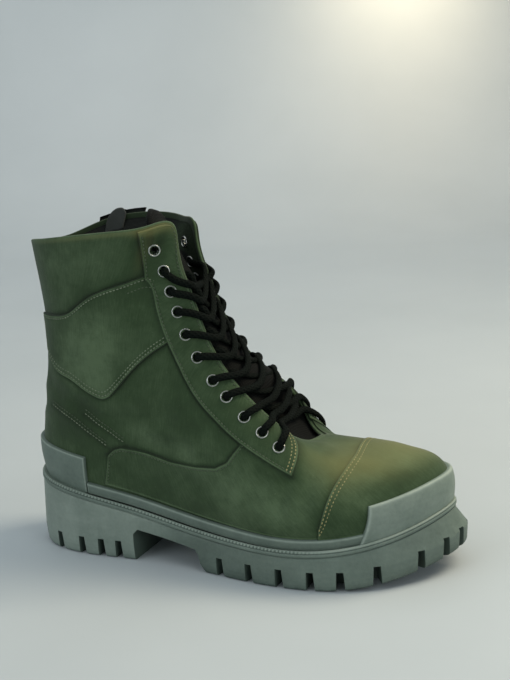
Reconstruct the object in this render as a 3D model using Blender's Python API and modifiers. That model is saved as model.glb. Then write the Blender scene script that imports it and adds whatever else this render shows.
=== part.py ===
"""Right denim lace-up boot on a lugged rubber sole, built as separate solids.

+X points to the toe, +Y to the inner side, +Z up. Shapes are drawn in a heel frame, with x = 0 at the back
of the outsole and y = 0 on the heel's middle line; one empty then carries them to the box's bottom centre.
"""
import math

import bmesh
import bpy
import numpy as np
from mathutils import Matrix, Vector

MM = 0.001

# Driving sizes
LENGTH = 305 * MM          # outsole, heel to toe
WALL = 2.0 * MM            # denim and lining of the upper
SEAT_GAP = 0.4 * MM        # clearance between pieces that rest on each other
LAYER_GAP = 1.15 * MM      # clearance under an overlay
DENIM = 1.0 * MM           # an overlay's thickness
RUBBER = 2.6 * MM          # thickness of rand and counter
BUMPER = 2.8 * MM          # thickness of the toe bumper
EYELET_ROWS = 11
LACE_RADIUS = 2.0 * MM

# The boot is drawn around a loop of stations: 0 is the toe tip, 11 the back of the heel, and 11 to 22 comes
# back along the inner side. Levels run from 0 at the feather line to 1 at the collar and throat edge.
HALF = 11
ROUND = 2 * HALF
LOOP_STEPS = 56               # points around a loop of stations

# station, x, y of the outer side, y of the inner side (mm): outline of the outsole's wall
OUTLINE = np.array([
    (0, 305, 9, 9),
    (1, 297, -14, 28),
    (2, 277, -37, 44),
    (3, 248, -54, 51),
    (4, 213, -60, 52),
    (5, 178, -57, 47),
    (6, 145, -50, 40),
    (7, 112, -44, 37),
    (8, 80, -42, 37),
    (9, 48, -41, 38),
    (10, 15, -29, 28),
    (11, 0, 0, 0),
])

# x, height (mm): the rim of the outsole seen from the side
RIM = np.array([
    (0, 52),
    (48, 45),
    (90, 37.5),
    (130, 30.5),
    (170, 27),
    (210, 26),
    (250, 30),
    (280, 37),
    (305, 46),
])

# station, inset (mm): how far the rim stands in from the outsole's wall
RIM_INSET = np.array([
    (0, 7),
    (1, 5.5),
    (2, 3),
    (3, 1),
    (4, 0.5),
    (8, 0.5),
    (11, 1),
])

# station, outward, rise (mm): the widest line of the upper, above its feather line
BELLY = np.array([
    (0, 1.5, 17),
    (2, 2, 16),
    (4, 3, 17),
    (6, 1.5, 20),
    (8, 1, 22),
    (10, 2.5, 22),
    (11, 3.5, 22),
])

# station, x, outer half width, inner half width, height, inner side's height (mm): top of the toe,
# instep and ankle
SHOULDER = np.array([
    (0, 277, 0, 0, 74.5, 74.5),
    (1, 270, 17, 15, 72.5, 70),
    (2, 254, 30, 26, 70, 64.5),
    (3, 231, 38, 34, 70, 61),
    (4, 203, 42, 39.5, 76, 64.5),
    (5, 172, 41, 41, 85, 76),
    (6, 143, 38, 38, 96, 92),
    (7, 117, 36, 36, 112, 110),
    (8, 90, 36, 36, 128, 127),
    (9, 58, 35, 35, 132, 132),
    (10, 28, 25, 25, 131, 131),
    (11, 14.5, 0, 0, 130, 130),
])

# station, x, outer half width, inner half width, height, then x and height on the inner side (mm):
# throat edge up to station 8, then the collar
EDGE = np.array([
    (0, 211, 0, 0, 83, 211, 83),
    (1, 209, 11, 9, 83.5, 208.5, 81),
    (2, 204, 19, 15.5, 86, 202.5, 81.8),
    (3, 196, 24, 22, 93, 194.5, 89),
    (4, 182, 25, 28, 106, 182, 106),
    (5, 164, 24, 24.5, 125, 161, 125),
    (6, 147, 22, 19, 151, 143, 151),
    (7, 135, 20, 16.5, 184, 132, 184),
    (7.7, 129, 20.5, 16.5, 213, 125, 212),
    (7.88, 128, 21.2, 17.2, 223.8, 124, 219.8),
    (8, 125.5, 23.5, 19.5, 227, 121.5, 222.5),
    (8.3, 116, 32, 28.5, 226, 113, 222.5),
    (9, 92, 44, 44, 223.5, 92, 223),
    (10, 40, 40, 40, 218.3, 40, 218.4),
    (10.5, 20.1, 23.2, 23.1, 215, 20.1, 210.5),
    (11, 12.5, 0, 0, 211.5, 12.5, 211.5),
])

SHOULDER_INNER = [1, 3, 5]    # table columns of the inner side's x, y and z
EDGE_INNER = [5, 3, 6]

FEATHER_FROM_RIM = 7.0 * MM   # the upper stands this far in from the rim
SHOULDER_LEAN = 0.6           # share of the sole's sideways bend that the shoulder line follows
EDGE_LEAN = 0.2               # and that the throat and collar follow
LINE_LEVELS = np.array([0, 0.2, 0.55, 1.0])    # feather, belly, shoulder, edge
UPPER_ROWS = 10
SMALL_STEP = 0.002            # stations or levels, to find directions on the surface
LEVEL_SAMPLES = 60

# Outsole
LIP_WIDTH = 2.2 * MM          # rim bead around the top
LIP_DROP = 2.0 * MM           # from the bead down to the seat of the upper
LIP_SLOPE = 0.7 * MM          # sideways fall of that step
TOE_SPRING = 15 * MM
SPRING_START = 225 * MM
HEEL_ROCKER = 3 * MM          # lift at the very back of the heel
ROCKER_LENGTH = 12 * MM
# inset from the outline, height (mm): rings of the wall, above the tread
WALL_RINGS = ((3.0, 0), (0.6, 2.4), (0, 12))
# inset from the rim, drop (mm): rings of the groove under the rim bead, and of the bead
BEAD_RINGS = ((0.6, 5.2), (1.3, 4.4), (0.2, 3.6), (0, 1.2), (0.8, 0))
# x, z (mm): side view of the hollow under the arch
ARCH = ((89, -5), (89, 19), (92.5, 22.5), (138, 15.5), (140.5, 12), (141.5, 6), (150, -5))
NOTCHES = (0.35, 0.94, 1.61, 2.52, 3.20, 3.74, 4.33, 4.96, 5.63, 8.10, 8.53, 9.01, 9.59, 10.3)
NOTCH_WIDTH = 6 * MM
NOTCH_HEIGHT = 13 * MM
NOTCH_REACH = 15 * MM
NOTCH_TAPER = 0.7             # width at the top of a notch, as a share of its width below
# x, y reach (mm) of the tread's cross grooves, which stay inside the rows of notches
GROOVES = ((24, 12), (40, 16), (56, 18), (72, 18), (168, 26), (190, 30), (212, 32), (234, 30), (256, 24))
GROOVE_WIDTH = 5 * MM
GROOVE_DEPTH = 7 * MM

# Insole
INSOLE_CLEARANCE = 1.0 * MM
INSOLE_THICKNESS = 4.0 * MM

# Rubber around the foot of the upper
RUBBER_COLUMNS = 3
BAND_ROWS = 13
BUMPER_ROWS = 21
RAND_FOOT = 1.5 * MM          # start of rand and counter above the sole's seat
RAND_HEIGHT = 9.0 * MM
COUNTER_HEIGHT = 26.5 * MM
COUNTER_STATION = 8.85
BUMPER_FOOT = (3.5 * MM, 5.2 * MM)   # start of the bumper at its ends and at the toe tip, over the rim bead
BUMPER_HEIGHT = 23.5 * MM
BUMPER_STATION = 2.84         # rear end at its foot
BUMPER_TOP_STATION = 2.56     # and at its top edge
JOIN_STATION = 0.02           # clearance between two rubber ends, in stations

# Overlays: outer side, as (station, level) along two facing edges
OVERLAY_COLUMNS = 5
CAP_COLUMNS = 6
EYESTAY_FRONT = ((2.84, 1.0), (3.2, 1.0), (3.8, 1.0), (4.5, 1.0), (5.15, 1.0), (5.8, 1.0), (6.3, 1.0),
                 (6.8, 1.0), (7.3, 1.0), (7.96, 0.995))
EYESTAY_REAR = ((3.86, 0.495), (4.46, 0.55), (4.95, 0.59), (5.56, 0.65), (6.06, 0.685), (6.66, 0.73),
                (7.22, 0.765), (7.68, 0.80), (8.08, 0.835), (8.5, 0.995))
ANKLE_TOP = ((10.45, 0.735), (9.9, 0.73), (9.5, 0.735), (9.13, 0.785), (8.75, 0.815), (8.4, 0.83),
             (8.2, 0.83), (7.75, 0.79), (7.38, 0.755))
ANKLE_FOOT = ((10.2, 0.60), (9.65, 0.525), (9.25, 0.505), (8.9, 0.48), (8.6, 0.463), (8.4, 0.46),
              (8.15, 0.495), (7.75, 0.595), (7.38, 0.70))
VAMP_TOP = ((8.25, 0.27), (7.95, 0.315), (7.4, 0.33), (6.7, 0.345), (6.1, 0.375), (5.6, 0.41),
            (5.3, 0.46), (4.98, 0.565), (4.46, 0.525), (4.06, 0.49), (3.9, 0.475), (3.78, 0.465),
            (3.66, 0.52), (3.5, 0.595), (3.15, 0.74), (2.85, 0.86), (2.6, 0.985), (2.2, 0.99),
            (1.8, 0.99), (1.35, 0.99), (0.9, 0.99), (0.45, 0.99), (0, 0.99))
VAMP_FOOT = ((8.42, 0.125), (8.1, 0.125), (7.4, 0.125), (6.7, 0.125), (6.1, 0.125), (5.6, 0.125),
             (5.3, 0.125), (4.95, 0.125), (4.45, 0.125), (4.05, 0.13), (3.85, 0.13), (3.66, 0.135),
             (3.6, 0.19), (3.53, 0.25), (3.38, 0.36), (3.12, 0.47), (2.68, 0.595), (2.22, 0.68),
             (1.72, 0.745), (1.3, 0.785), (0.9, 0.812), (0.45, 0.835), (0, 0.84))
CAP_TOP = ((3.50, 0.235), (3.34, 0.345), (3.08, 0.455), (2.62, 0.58), (1.66, 0.73), (0.9, 0.795),
           (0, 0.825))
CAP_FOOT = ((3.60, 0.135), (3.2, 0.135), (2.8, 0.135), (2.3, 0.135), (1.5, 0.135), (0.8, 0.135),
            (0, 0.135))
BACKSTAY_HALF = 0.25          # stations to each side of the heel's middle
BACKSTAY_LEVELS = (0.25, 0.985)
BACKSTAY_ROWS = 8
BACKSTAY_GAP = 0.7 * MM

# Eyelets: rows from the collar down, as (place along the eyestay's table, share from its front to its rear)
EYELETS = ((8.4, 0.77), (7.95, 0.63), (7.4, 0.55), (6.65, 0.54), (5.8, 0.56), (4.95, 0.52), (4.1, 0.49),
           (3.35, 0.5), (2.45, 0.57), (1.65, 0.61), (0.8, 0.69))
EYELET_HOLE = 3.5 * MM        # radius of the hole through the eyestay
HOLE_REACH = 14 * MM          # length of the tool that cuts it
HOLE_SIDES = 6
EYELET_BORE = 2.5 * MM
EYELET_BARREL = 2.95 * MM
EYELET_FLANGE = 3.8 * MM
EYELET_GAP = 1.0 * MM         # under the flange, which is flat on a curved eyestay
EYELET_HEIGHT = 0.8 * MM
EYELET_DEPTH = 1.3 * MM
EYELET_SIDES = 8

# Tongue
TONGUE_DEPTH = WALL + 1.4 * MM
TONGUE_THICKNESS = 2.5 * MM
TONGUE_UNDER = (0.34, 0.16)   # share of the eyestay's width that it reaches under, below and at the top
TONGUE_SPANS = 6              # facets across the open throat
TONGUE_BULGE = 0.6            # how round it stands across the throat
TONGUE_RISE = 7 * MM          # above the collar's front corner
TONGUE_SETBACK = 18 * MM      # of its top end from the flaps
SETBACK_START = 4             # place along the eyestay's table where it starts to lean back
# station, level: its lower end under the vamp, from the outer side to the middle
TONGUE_FOOT = ((1.0, 0.92), (0.9, 0.925), (0.8, 0.93), (0.65, 0.935), (0.35, 0.94), (0, 0.94))
# throat station, then station and level of its edge, where it comes up from under the vamp
TONGUE_LOW = ((1.0, 1.05, 0.985), (1.95, 2.25, 0.95))

# Lace: bars over the tongue
LACE_SHARES = (0.3, 0.5, 0.7)
LACE_EYELET_GAP = 0.7 * MM
LACE_EDGE_GAP = 2.0 * MM      # over the eyestay's edge
LACE_TAIL = (0.2, 0.4)        # the lowest one ends in the throat
LACE_POINTS = 8

# Zip on the inner side of the shaft
ZIP_STATION = ROUND - 9.75
ZIP_LEVELS = (0.34, 1.02)
ZIP_ROWS = 8
TAPE_HALF = 0.30              # stations
CHAIN_HALF = 0.085
TAPE = 0.6 * MM
CHAIN = 1.5 * MM
SLIDER_LEVEL = 0.995
SLIDER_SIZE = Vector((9, 12, 1.8)) * MM
EAR_SIZE = Vector((1.3, 4.4, 4.2)) * MM
EAR_OFFSET = 3.5 * MM
PIN_RADIUS = 0.7 * MM
PIN_SIDES = 10
EYE_RADIUS = 1.9 * MM
EYE_HOLE = 1.05 * MM
EYE_SIDES = 14
PULL_WIDTH = 5.0 * MM
PULL_LENGTH = 24 * MM
PULL_THICKNESS = 1.6 * MM

# Guard behind the zip's upper end: station, lowest and highest level, on the inside of the wall
GUARD = ((-0.19, 0.955, 0.985), (-0.165, 0.95, 1.012), (-0.10, 0.95, 1.028), (-0.03, 0.95, 1.03),
         (0.03, 0.95, 1.022), (0.075, 0.955, 1.005))
GUARD_THICKNESS = 1.6 * MM
GUARD_GAP = 1.25 * MM         # inside the curved wall
GUARD_COLUMNS = 4

# name: (colour, roughness, metallic)
FINISHES = {
    "denim": ((0.040, 0.062, 0.034, 1), 0.85, 0),
    "rubber": ((0.125, 0.160, 0.145, 1), 0.6, 0),
    "black_cloth": ((0.006, 0.007, 0.007, 1), 0.9, 0),
    "metal": ((0.55, 0.56, 0.55, 1), 0.3, 1),
    "black_metal": ((0.02, 0.02, 0.02, 1), 0.4, 1),
}


def clear_scene():
    for old in list(bpy.data.objects):
        bpy.data.objects.remove(old, do_unlink=True)


def new_collection(name):
    group = bpy.data.collections.new(name)
    bpy.context.scene.collection.children.link(group)
    return group


def material(name, finish):
    colour, roughness, metallic = FINISHES[finish]
    made = bpy.data.materials.new(name)
    made.use_nodes = True
    shader = made.node_tree.nodes["Principled BSDF"]
    shader.inputs["Base Color"].default_value = colour
    shader.inputs["Roughness"].default_value = roughness
    shader.inputs["Metallic"].default_value = metallic
    return made


# Smooth curves through table rows

def slopes(knots, values, period=None):
    """Slopes at the knots that make a cubic through the values even in curvature."""
    count = len(knots)
    spans = np.diff(knots)
    steps = np.diff(values, axis=0)
    if period is not None:
        spans = np.append(spans, knots[0] + period - knots[-1])
        steps = np.concatenate([steps, values[:1] - values[-1:]])
    matrix = np.zeros((count, count))
    right = np.zeros_like(values)
    for span in range(len(spans)):
        start, end = span, (span + 1) % count
        for here, there in ((start, end), (end, start)):
            matrix[here, here] += 2 / spans[span]
            matrix[here, there] += 1 / spans[span]
            right[here] += 3 * steps[span] / spans[span] ** 2
    return np.linalg.solve(matrix, right.reshape(count, -1)).reshape(values.shape)


def blend(start, end, start_slope, end_slope, share):
    """Point on a cubic between two points with their slopes."""
    return (start * (1 + 2 * share) * (1 - share) ** 2 + start_slope * share * (1 - share) ** 2
            + end * share ** 2 * (3 - 2 * share) - end_slope * share ** 2 * (1 - share))


def spline(knots, values, at, period=None):
    """Smooth curve through values[i] at knots[i], read at the places in at."""
    knots = np.asarray(knots, float)
    values = np.asarray(values, float)
    at = np.asarray(at, float)
    slope = slopes(knots, values, period)
    if period is not None:
        at = knots[0] + (at - knots[0]) % period
        knots = np.append(knots, knots[0] + period)
        values = np.concatenate([values, values[:1]])
        slope = np.concatenate([slope, slope[:1]])
    span = np.clip(np.searchsorted(knots, at, "right") - 1, 0, len(knots) - 2)
    shape = at.shape + (1,) * (values.ndim - 1)
    width = (knots[span + 1] - knots[span]).reshape(shape)
    share = (at - knots[span]).reshape(shape) / width
    return blend(values[span], values[span + 1], slope[span] * width, slope[span + 1] * width, share)


def around(stations, outer, inner, at):
    """Closed curve from a table's outer rows and, mirrored, its inner rows."""
    stations = np.asarray(stations, float)
    knots = np.concatenate([stations, ROUND - stations[-2:0:-1]])
    values = np.concatenate([outer, inner[-2:0:-1]])
    return spline(knots, values, at, ROUND)


def unit(vectors):
    return vectors / np.linalg.norm(vectors, axis=-1, keepdims=True)


# The boot's own surface

def rim_inset(at):
    return around(RIM_INSET[:, 0], RIM_INSET[:, 1] * MM, RIM_INSET[:, 1] * MM, at)


def rim_height(x):
    return spline(RIM[:, 0] * MM, RIM[:, 1] * MM, np.clip(x, 0, LENGTH))


def outline(at, inset=0.0):
    """Plan points of the outsole's wall, moved inward by the inset."""
    at = np.asarray(at, float)
    outer = OUTLINE[:, [1, 2]] * MM
    inner = OUTLINE[:, [1, 3]] * MM
    along = around(OUTLINE[:, 0], outer, inner, at + SMALL_STEP)
    along -= around(OUTLINE[:, 0], outer, inner, at - SMALL_STEP)
    inward = unit(np.stack([along[..., 1], -along[..., 0]], axis=-1))
    return around(OUTLINE[:, 0], outer, inner, at) + inward * np.asarray(inset)[..., None]


def bend(at):
    """Sideways place of the sole's middle line."""
    middle = (OUTLINE[:, 2] + OUTLINE[:, 3]) / 2 * MM
    return around(OUTLINE[:, 0], middle, middle, at)


def girth_line(table, inner_columns, lean, at):
    outer = table[:, [1, 2, 4]] * (1, -1, 1) * MM
    inner = table[:, inner_columns] * MM
    points = around(table[:, 0], outer, inner, at)
    points[..., 1] += lean * bend(at)
    return points


def with_height(plan, height):
    return np.concatenate([plan, height[..., None]], axis=-1)


def girth_lines(at):
    """Feather, belly, shoulder and edge lines of the upper at the stations."""
    inset = rim_inset(at) + FEATHER_FROM_RIM
    feather = outline(at, inset)
    foot = rim_height(feather[..., 0]) - LIP_DROP + SEAT_GAP
    outward, rise = np.moveaxis(around(BELLY[:, 0], BELLY[:, 1:] * MM, BELLY[:, 1:] * MM, at), -1, 0)
    belly = outline(at, inset - outward)
    return np.stack([with_height(feather, foot), with_height(belly, foot + rise),
                     girth_line(SHOULDER, SHOULDER_INNER, SHOULDER_LEAN, at),
                     girth_line(EDGE, EDGE_INNER, EDGE_LEAN, at)])


def surface(station, level):
    """Points of the upper's outer face."""
    station, level = np.broadcast_arrays(np.asarray(station, float), np.asarray(level, float))
    lines = girth_lines(station)
    slope = slopes(LINE_LEVELS, lines)
    span = np.clip(np.searchsorted(LINE_LEVELS, level, "right") - 1, 0, len(LINE_LEVELS) - 2)
    width = (LINE_LEVELS[span + 1] - LINE_LEVELS[span])[..., None]
    share = (level - LINE_LEVELS[span])[..., None] / width

    def pick(rows, index):
        return np.take_along_axis(rows, index[None, ..., None], axis=0)[0]

    return blend(pick(lines, span), pick(lines, span + 1),
                 pick(slope, span) * width, pick(slope, span + 1) * width, share)


def skin(station, level, height):
    """Points at a height above the upper's outer face."""
    station = np.asarray(station, float)
    level = np.asarray(level, float)
    along = surface(station + SMALL_STEP, level) - surface(station - SMALL_STEP, level)
    upward = surface(station, level + SMALL_STEP) - surface(station, level - SMALL_STEP)
    return surface(station, level) + unit(np.cross(upward, along)) * np.asarray(height)[..., None]


def level_at(station, height):
    """Level whose point stands at a height above the feather line."""
    levels = np.linspace(0, LINE_LEVELS[2], LEVEL_SAMPLES)
    heights = surface(np.full_like(levels, station), levels)[:, 2]
    return float(np.interp(heights[0] + height, heights, levels))


# Objects

def add_object(name, data, group, finish, parent):
    made = bpy.data.objects.new(name, data)
    group.objects.link(made)
    made.parent = parent
    if finish:
        data.materials.append(material(name, finish))
    return made


def grid_mesh(name, points, closed=False):
    """Open sheet over a grid of points; rows run along, columns up, and faces look outward."""
    rows, columns, _ = points.shape
    bm = bmesh.new()
    verts = [[bm.verts.new(point) for point in row] for row in points]
    for row in range(rows if closed else rows - 1):
        after = (row + 1) % rows
        for column in range(columns - 1):
            bm.faces.new((verts[row][column], verts[row][column + 1],
                          verts[after][column + 1], verts[after][column]))
    mesh = bpy.data.meshes.new(name)
    bm.to_mesh(mesh)
    bm.free()
    return mesh


def solidify(made, thickness, side, even=True):
    shell = made.modifiers.new("thickness", "SOLIDIFY")
    shell.thickness = thickness
    shell.offset = side
    shell.use_even_offset = even
    return shell


def cut(made, cutter):
    hole = made.modifiers.new("cut", "BOOLEAN")
    hole.operation = "DIFFERENCE"
    hole.object = cutter


def join(made, other):
    weld = made.modifiers.new("join", "BOOLEAN")
    weld.operation = "UNION"
    weld.object = other


def add_cutter(name, bm, group, parent):
    mesh = bpy.data.meshes.new(name)
    bmesh.ops.recalc_face_normals(bm, faces=bm.faces)
    bm.to_mesh(mesh)
    bm.free()
    made = add_object(name, mesh, group, None, parent)
    made.hide_render = True
    made.display_type = "WIRE"
    return made


def sheet(name, points, thickness, finish, group, parent):
    """Piece cut from the upper's surface: an open sheet thickened outward."""
    made = add_object(name, grid_mesh(name, points), group, finish, parent)
    solidify(made, thickness, 1)
    return made


def between(foot, top, columns):
    """Station and level grid between two facing edges, each a list of (station, level)."""
    foot = np.asarray(foot, float)[:, None, :]
    top = np.asarray(top, float)[:, None, :]
    share = np.linspace(0, 1, columns)[None, :, None]
    grid = foot + (top - foot) * share
    return grid[..., 0], grid[..., 1]


def mirrored(edge):
    """An edge that runs to the middle at station 0, carried on along the inner side."""
    return tuple(edge) + tuple((-station, level) for station, level in reversed(edge[:-1]))


def inner_side(edge):
    return tuple((ROUND - station, level) for station, level in reversed(edge))


# Sole

def spring(x):
    toe = TOE_SPRING * np.clip((x - SPRING_START) / (LENGTH - SPRING_START), 0, None) ** 2
    heel = HEEL_ROCKER * np.clip((ROCKER_LENGTH - x) / ROCKER_LENGTH, 0, None) ** 2
    return toe + heel


def loft(name, rings):
    """Closed solid through rings that share stations, capped across from outer to inner side."""
    count = len(rings[0])
    bm = bmesh.new()
    verts = [[bm.verts.new(point) for point in ring] for ring in rings]
    for low, high in zip(verts, verts[1:]):
        for place in range(count):
            after = (place + 1) % count
            bm.faces.new((low[place], high[place], high[after], low[after]))
    for ring, order in ((verts[0], 1), (verts[-1], -1)):
        for place in range(count // 2):
            across = [ring[place], ring[place + 1], ring[-place - 1], ring[-place]]
            bm.faces.new(list(dict.fromkeys(across))[::order])
    mesh = bpy.data.meshes.new(name)
    bm.to_mesh(mesh)
    bm.free()
    return mesh


def loop_stations():
    return np.arange(LOOP_STEPS) * ROUND / LOOP_STEPS


def outsole_rings():
    """Rings from the tread up the side, over the rim bead to the seat of the upper."""
    at = loop_stations()
    rim = rim_inset(at)

    def from_floor(inset, height):
        plan = outline(at, np.full_like(at, inset))
        return with_height(plan, spring(plan[:, 0]) + height)

    def from_rim(inset, drop):
        plan = outline(at, rim + inset)
        return with_height(plan, rim_height(plan[:, 0]) - drop)

    wall = [from_floor(inset * MM, height * MM) for inset, height in WALL_RINGS]
    bead = [from_rim(inset * MM, drop * MM) for inset, drop in BEAD_RINGS]
    return wall + bead + [from_rim(LIP_WIDTH, 0), from_rim(LIP_WIDTH + LIP_SLOPE, LIP_DROP)]


def notch_cutter(group, parent):
    bm = bmesh.new()
    for station in NOTCHES + tuple(ROUND - station for station in NOTCHES):
        edge = outline(station)
        inward = unit(outline(station, 1 * MM) - edge)
        turn = Matrix.Rotation(math.atan2(inward[1], inward[0]), 4, "Z")
        reach = NOTCH_REACH * 2
        middle = Matrix.Translation((*edge, float(spring(edge[0]))))
        box = bmesh.ops.create_cube(bm, size=1)["verts"]
        for vert in box:
            width = NOTCH_WIDTH * (NOTCH_TAPER if vert.co.z > 0 else 1)
            vert.co = Vector((vert.co.x * reach, vert.co.y * width, vert.co.z * NOTCH_HEIGHT * 2))
        bmesh.ops.transform(bm, matrix=middle @ turn, verts=box)
    return add_cutter("notch_cutter", bm, group, parent)


def groove_cutter(group, parent):
    bm = bmesh.new()
    for x, reach in GROOVES:
        size = Matrix.Diagonal((GROOVE_WIDTH, 2 * reach * MM, GROOVE_DEPTH * 2, 1))
        middle = Matrix.Translation((x * MM, 0, float(spring(x * MM))))
        bmesh.ops.create_cube(bm, size=1, matrix=middle @ size)
    return add_cutter("groove_cutter", bm, group, parent)


def arch_cutter(group, parent):
    bm = bmesh.new()
    side = [bm.verts.new((x * MM, -LENGTH / 2, z * MM)) for x, z in ARCH]
    face = bm.faces.new(side)
    swept = bmesh.ops.extrude_face_region(bm, geom=[face])["geom"]
    moved = [item for item in swept if isinstance(item, bmesh.types.BMVert)]
    bmesh.ops.translate(bm, verts=moved, vec=(0, LENGTH, 0))
    return add_cutter("arch_cutter", bm, group, parent)


def make_outsole(group, cutters, parent):
    made = add_object("outsole", loft("outsole", outsole_rings()), group, "rubber", parent)
    for cutter in (arch_cutter, notch_cutter, groove_cutter):
        cut(made, cutter(cutters, parent))


def make_insole(group, parent):
    at = loop_stations()
    inset = rim_inset(at) + FEATHER_FROM_RIM + WALL + INSOLE_CLEARANCE
    plan = outline(at, inset)
    seat = rim_height(plan[:, 0]) - LIP_DROP + SEAT_GAP
    rings = [with_height(plan, seat), with_height(plan, seat + INSOLE_THICKNESS)]
    add_object("insole", loft("insole", rings), group, "black_cloth", parent)


# Upper and what is cut from its surface

def on_eyestay(along, across):
    """Station and level at a place along the eyestay's table and a share of its width."""
    rows = np.arange(len(EYESTAY_FRONT))
    front, rear = (np.array([np.interp(along, rows, column) for column in zip(*edge)])
                   for edge in (EYESTAY_FRONT, EYESTAY_REAR))
    return front + (rear - front) * across


def hole_cutter(group, parent):
    bm = bmesh.new()
    seats = [tuple(on_eyestay(*eyelet)) for eyelet in EYELETS]
    for station, level in seats + list(inner_side(seats)):
        bmesh.ops.create_cone(bm, cap_ends=True, segments=HOLE_SIDES, radius1=EYELET_HOLE,
                              radius2=EYELET_HOLE, depth=HOLE_REACH, matrix=seat_matrix(station, level, 0))
    return add_cutter("hole_cutter", bm, group, parent)


def seat_matrix(station, level, height):
    """Frame on the upper's surface: Z outward, Y up along the boot, X to the side."""
    place = skin(station, level, height)
    outward = Vector(unit(skin(station, level, 1 * MM) - surface(station, level)))
    upward = Vector(surface(station, level + SMALL_STEP) - surface(station, level - SMALL_STEP))
    side = upward.cross(outward).normalized()
    turn = Matrix((side, outward.cross(side), outward)).transposed().to_4x4()
    return Matrix.Translation(place) @ turn


def make_upper(group, parent):
    at, level = np.meshgrid(loop_stations(), np.linspace(0, 1, UPPER_ROWS), indexing="ij")
    made = add_object("upper", grid_mesh("upper", surface(at, level), closed=True), group, "denim", parent)
    solidify(made, WALL, -1)


def foot_band(stations, top_stations, foot_heights, height, lift):
    """Grid from above the sole's seat up to a height, for the rubber around the upper."""
    shares = np.linspace(0, 1, RUBBER_COLUMNS)
    grid = np.zeros((len(stations), len(shares), 3))
    for row, (foot, top, low) in enumerate(zip(stations, top_stations, foot_heights)):
        for column, share in enumerate(shares):
            at = foot + (top - foot) * share
            grid[row, column] = skin(at, level_at(at, low + (height - low) * share), lift)
    return grid


def make_rubber(group, parent):
    bands = (("rand_lateral", BUMPER_STATION + JOIN_STATION, COUNTER_STATION - JOIN_STATION, RAND_HEIGHT),
             ("rand_medial", ROUND - COUNTER_STATION + JOIN_STATION, ROUND - BUMPER_STATION - JOIN_STATION,
              RAND_HEIGHT),
             ("heel_counter", COUNTER_STATION, ROUND - COUNTER_STATION, COUNTER_HEIGHT))
    for name, start, end, height in bands:
        at = np.linspace(start, end, BAND_ROWS)
        points = foot_band(at, at, np.full_like(at, RAND_FOOT), height, LAYER_GAP)
        sheet(name, points, RUBBER, "rubber", group, parent)
    foot = np.linspace(-BUMPER_STATION, BUMPER_STATION, BUMPER_ROWS)
    top = foot * BUMPER_TOP_STATION / BUMPER_STATION
    end_foot, tip_foot = BUMPER_FOOT
    low = tip_foot + (end_foot - tip_foot) * (foot / BUMPER_STATION) ** 2
    points = foot_band(foot, top, low, BUMPER_HEIGHT, 2 * LAYER_GAP + DENIM + SEAT_GAP)
    sheet("toe_bumper", points, BUMPER, "rubber", group, parent)


def finer(edge):
    """An edge with a point added in the middle of each span."""
    edge = np.asarray(edge, float)
    rows = np.arange(len(edge))
    places = np.arange(0, len(edge) - 0.5, 0.5)
    return np.stack([np.interp(places, rows, edge[:, 0]), np.interp(places, rows, edge[:, 1])], axis=-1)


def make_overlays(holes, group, parent):
    front, rear = finer(EYESTAY_FRONT), finer(EYESTAY_REAR)
    for name, side in (("eyestay_lateral", tuple), ("eyestay_medial", inner_side)):
        grid = between(side(rear), side(front), OVERLAY_COLUMNS)
        made = sheet(name, skin(*grid, LAYER_GAP), DENIM, "denim", group, parent)
        cut(made, holes)
    grids = (("ankle_panel", between(finer(ANKLE_FOOT), finer(ANKLE_TOP), OVERLAY_COLUMNS)),
             ("vamp", between(mirrored(VAMP_FOOT), mirrored(VAMP_TOP), OVERLAY_COLUMNS)),
             ("toe_cap", between(finer(mirrored(CAP_FOOT)), finer(mirrored(CAP_TOP)), CAP_COLUMNS)))
    for name, grid in grids:
        sheet(name, skin(*grid, LAYER_GAP)[::-1], DENIM, "denim", group, parent)
    at, level = np.meshgrid(np.linspace(HALF - BACKSTAY_HALF, HALF + BACKSTAY_HALF, OVERLAY_COLUMNS),
                            np.linspace(*BACKSTAY_LEVELS, BACKSTAY_ROWS), indexing="ij")
    sheet("backstay", skin(at, level, BACKSTAY_GAP), DENIM, "denim", group, parent)


def bridge(outer, inner, outer_lead, inner_lead, shares):
    """Points across the open throat, leaving each edge in the direction that its lead point gives."""
    span = np.linalg.norm(inner - outer) * TONGUE_BULGE
    return blend(outer, inner, unit(outer - outer_lead) * span, unit(inner_lead - inner) * span,
                 np.asarray(shares)[:, None])


def tongue_points():
    """Grid over the throat, rows from the lower end up, columns from the outer to the inner side."""
    foot = np.array(TONGUE_FOOT)
    foot = np.concatenate([foot, (foot * (-1, 1))[-2::-1]])
    rows = [skin(foot[:, 0], foot[:, 1], -TONGUE_DEPTH)]
    edges = [((low[0], 1.0), low[1:]) for low in TONGUE_LOW]
    for along, under in enumerate(np.linspace(*TONGUE_UNDER, len(EYESTAY_FRONT))):
        edges.append((on_eyestay(along, 0), on_eyestay(along, under)))
    shares = np.linspace(0, 1, TONGUE_SPANS + 1)[1:-1]
    for edge, under in edges:
        station, level = np.linspace(under, edge, 3).T
        outer = skin(station, level, -TONGUE_DEPTH)
        inner = skin(ROUND - station, level, -TONGUE_DEPTH)[::-1]
        middle = bridge(outer[-1], inner[0], outer[-2], inner[1], shares)
        rows.append(np.concatenate([outer, middle, inner]))
    for along in range(SETBACK_START, len(EYESTAY_FRONT)):
        share = (along - SETBACK_START) / (len(EYESTAY_FRONT) - 1 - SETBACK_START)
        rows[along - len(EYESTAY_FRONT)][:, 0] -= TONGUE_SETBACK * share ** 2
    last = rows[-1] - rows[-2]
    rows.append(rows[-1] + last * TONGUE_RISE / np.linalg.norm(last, axis=-1).mean())
    return np.array(rows)


def make_tongue(group, parent):
    made = add_object("tongue", grid_mesh("tongue", tongue_points()), group, "black_cloth", parent)
    solidify(made, TONGUE_THICKNESS, -1, even=False)


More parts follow.
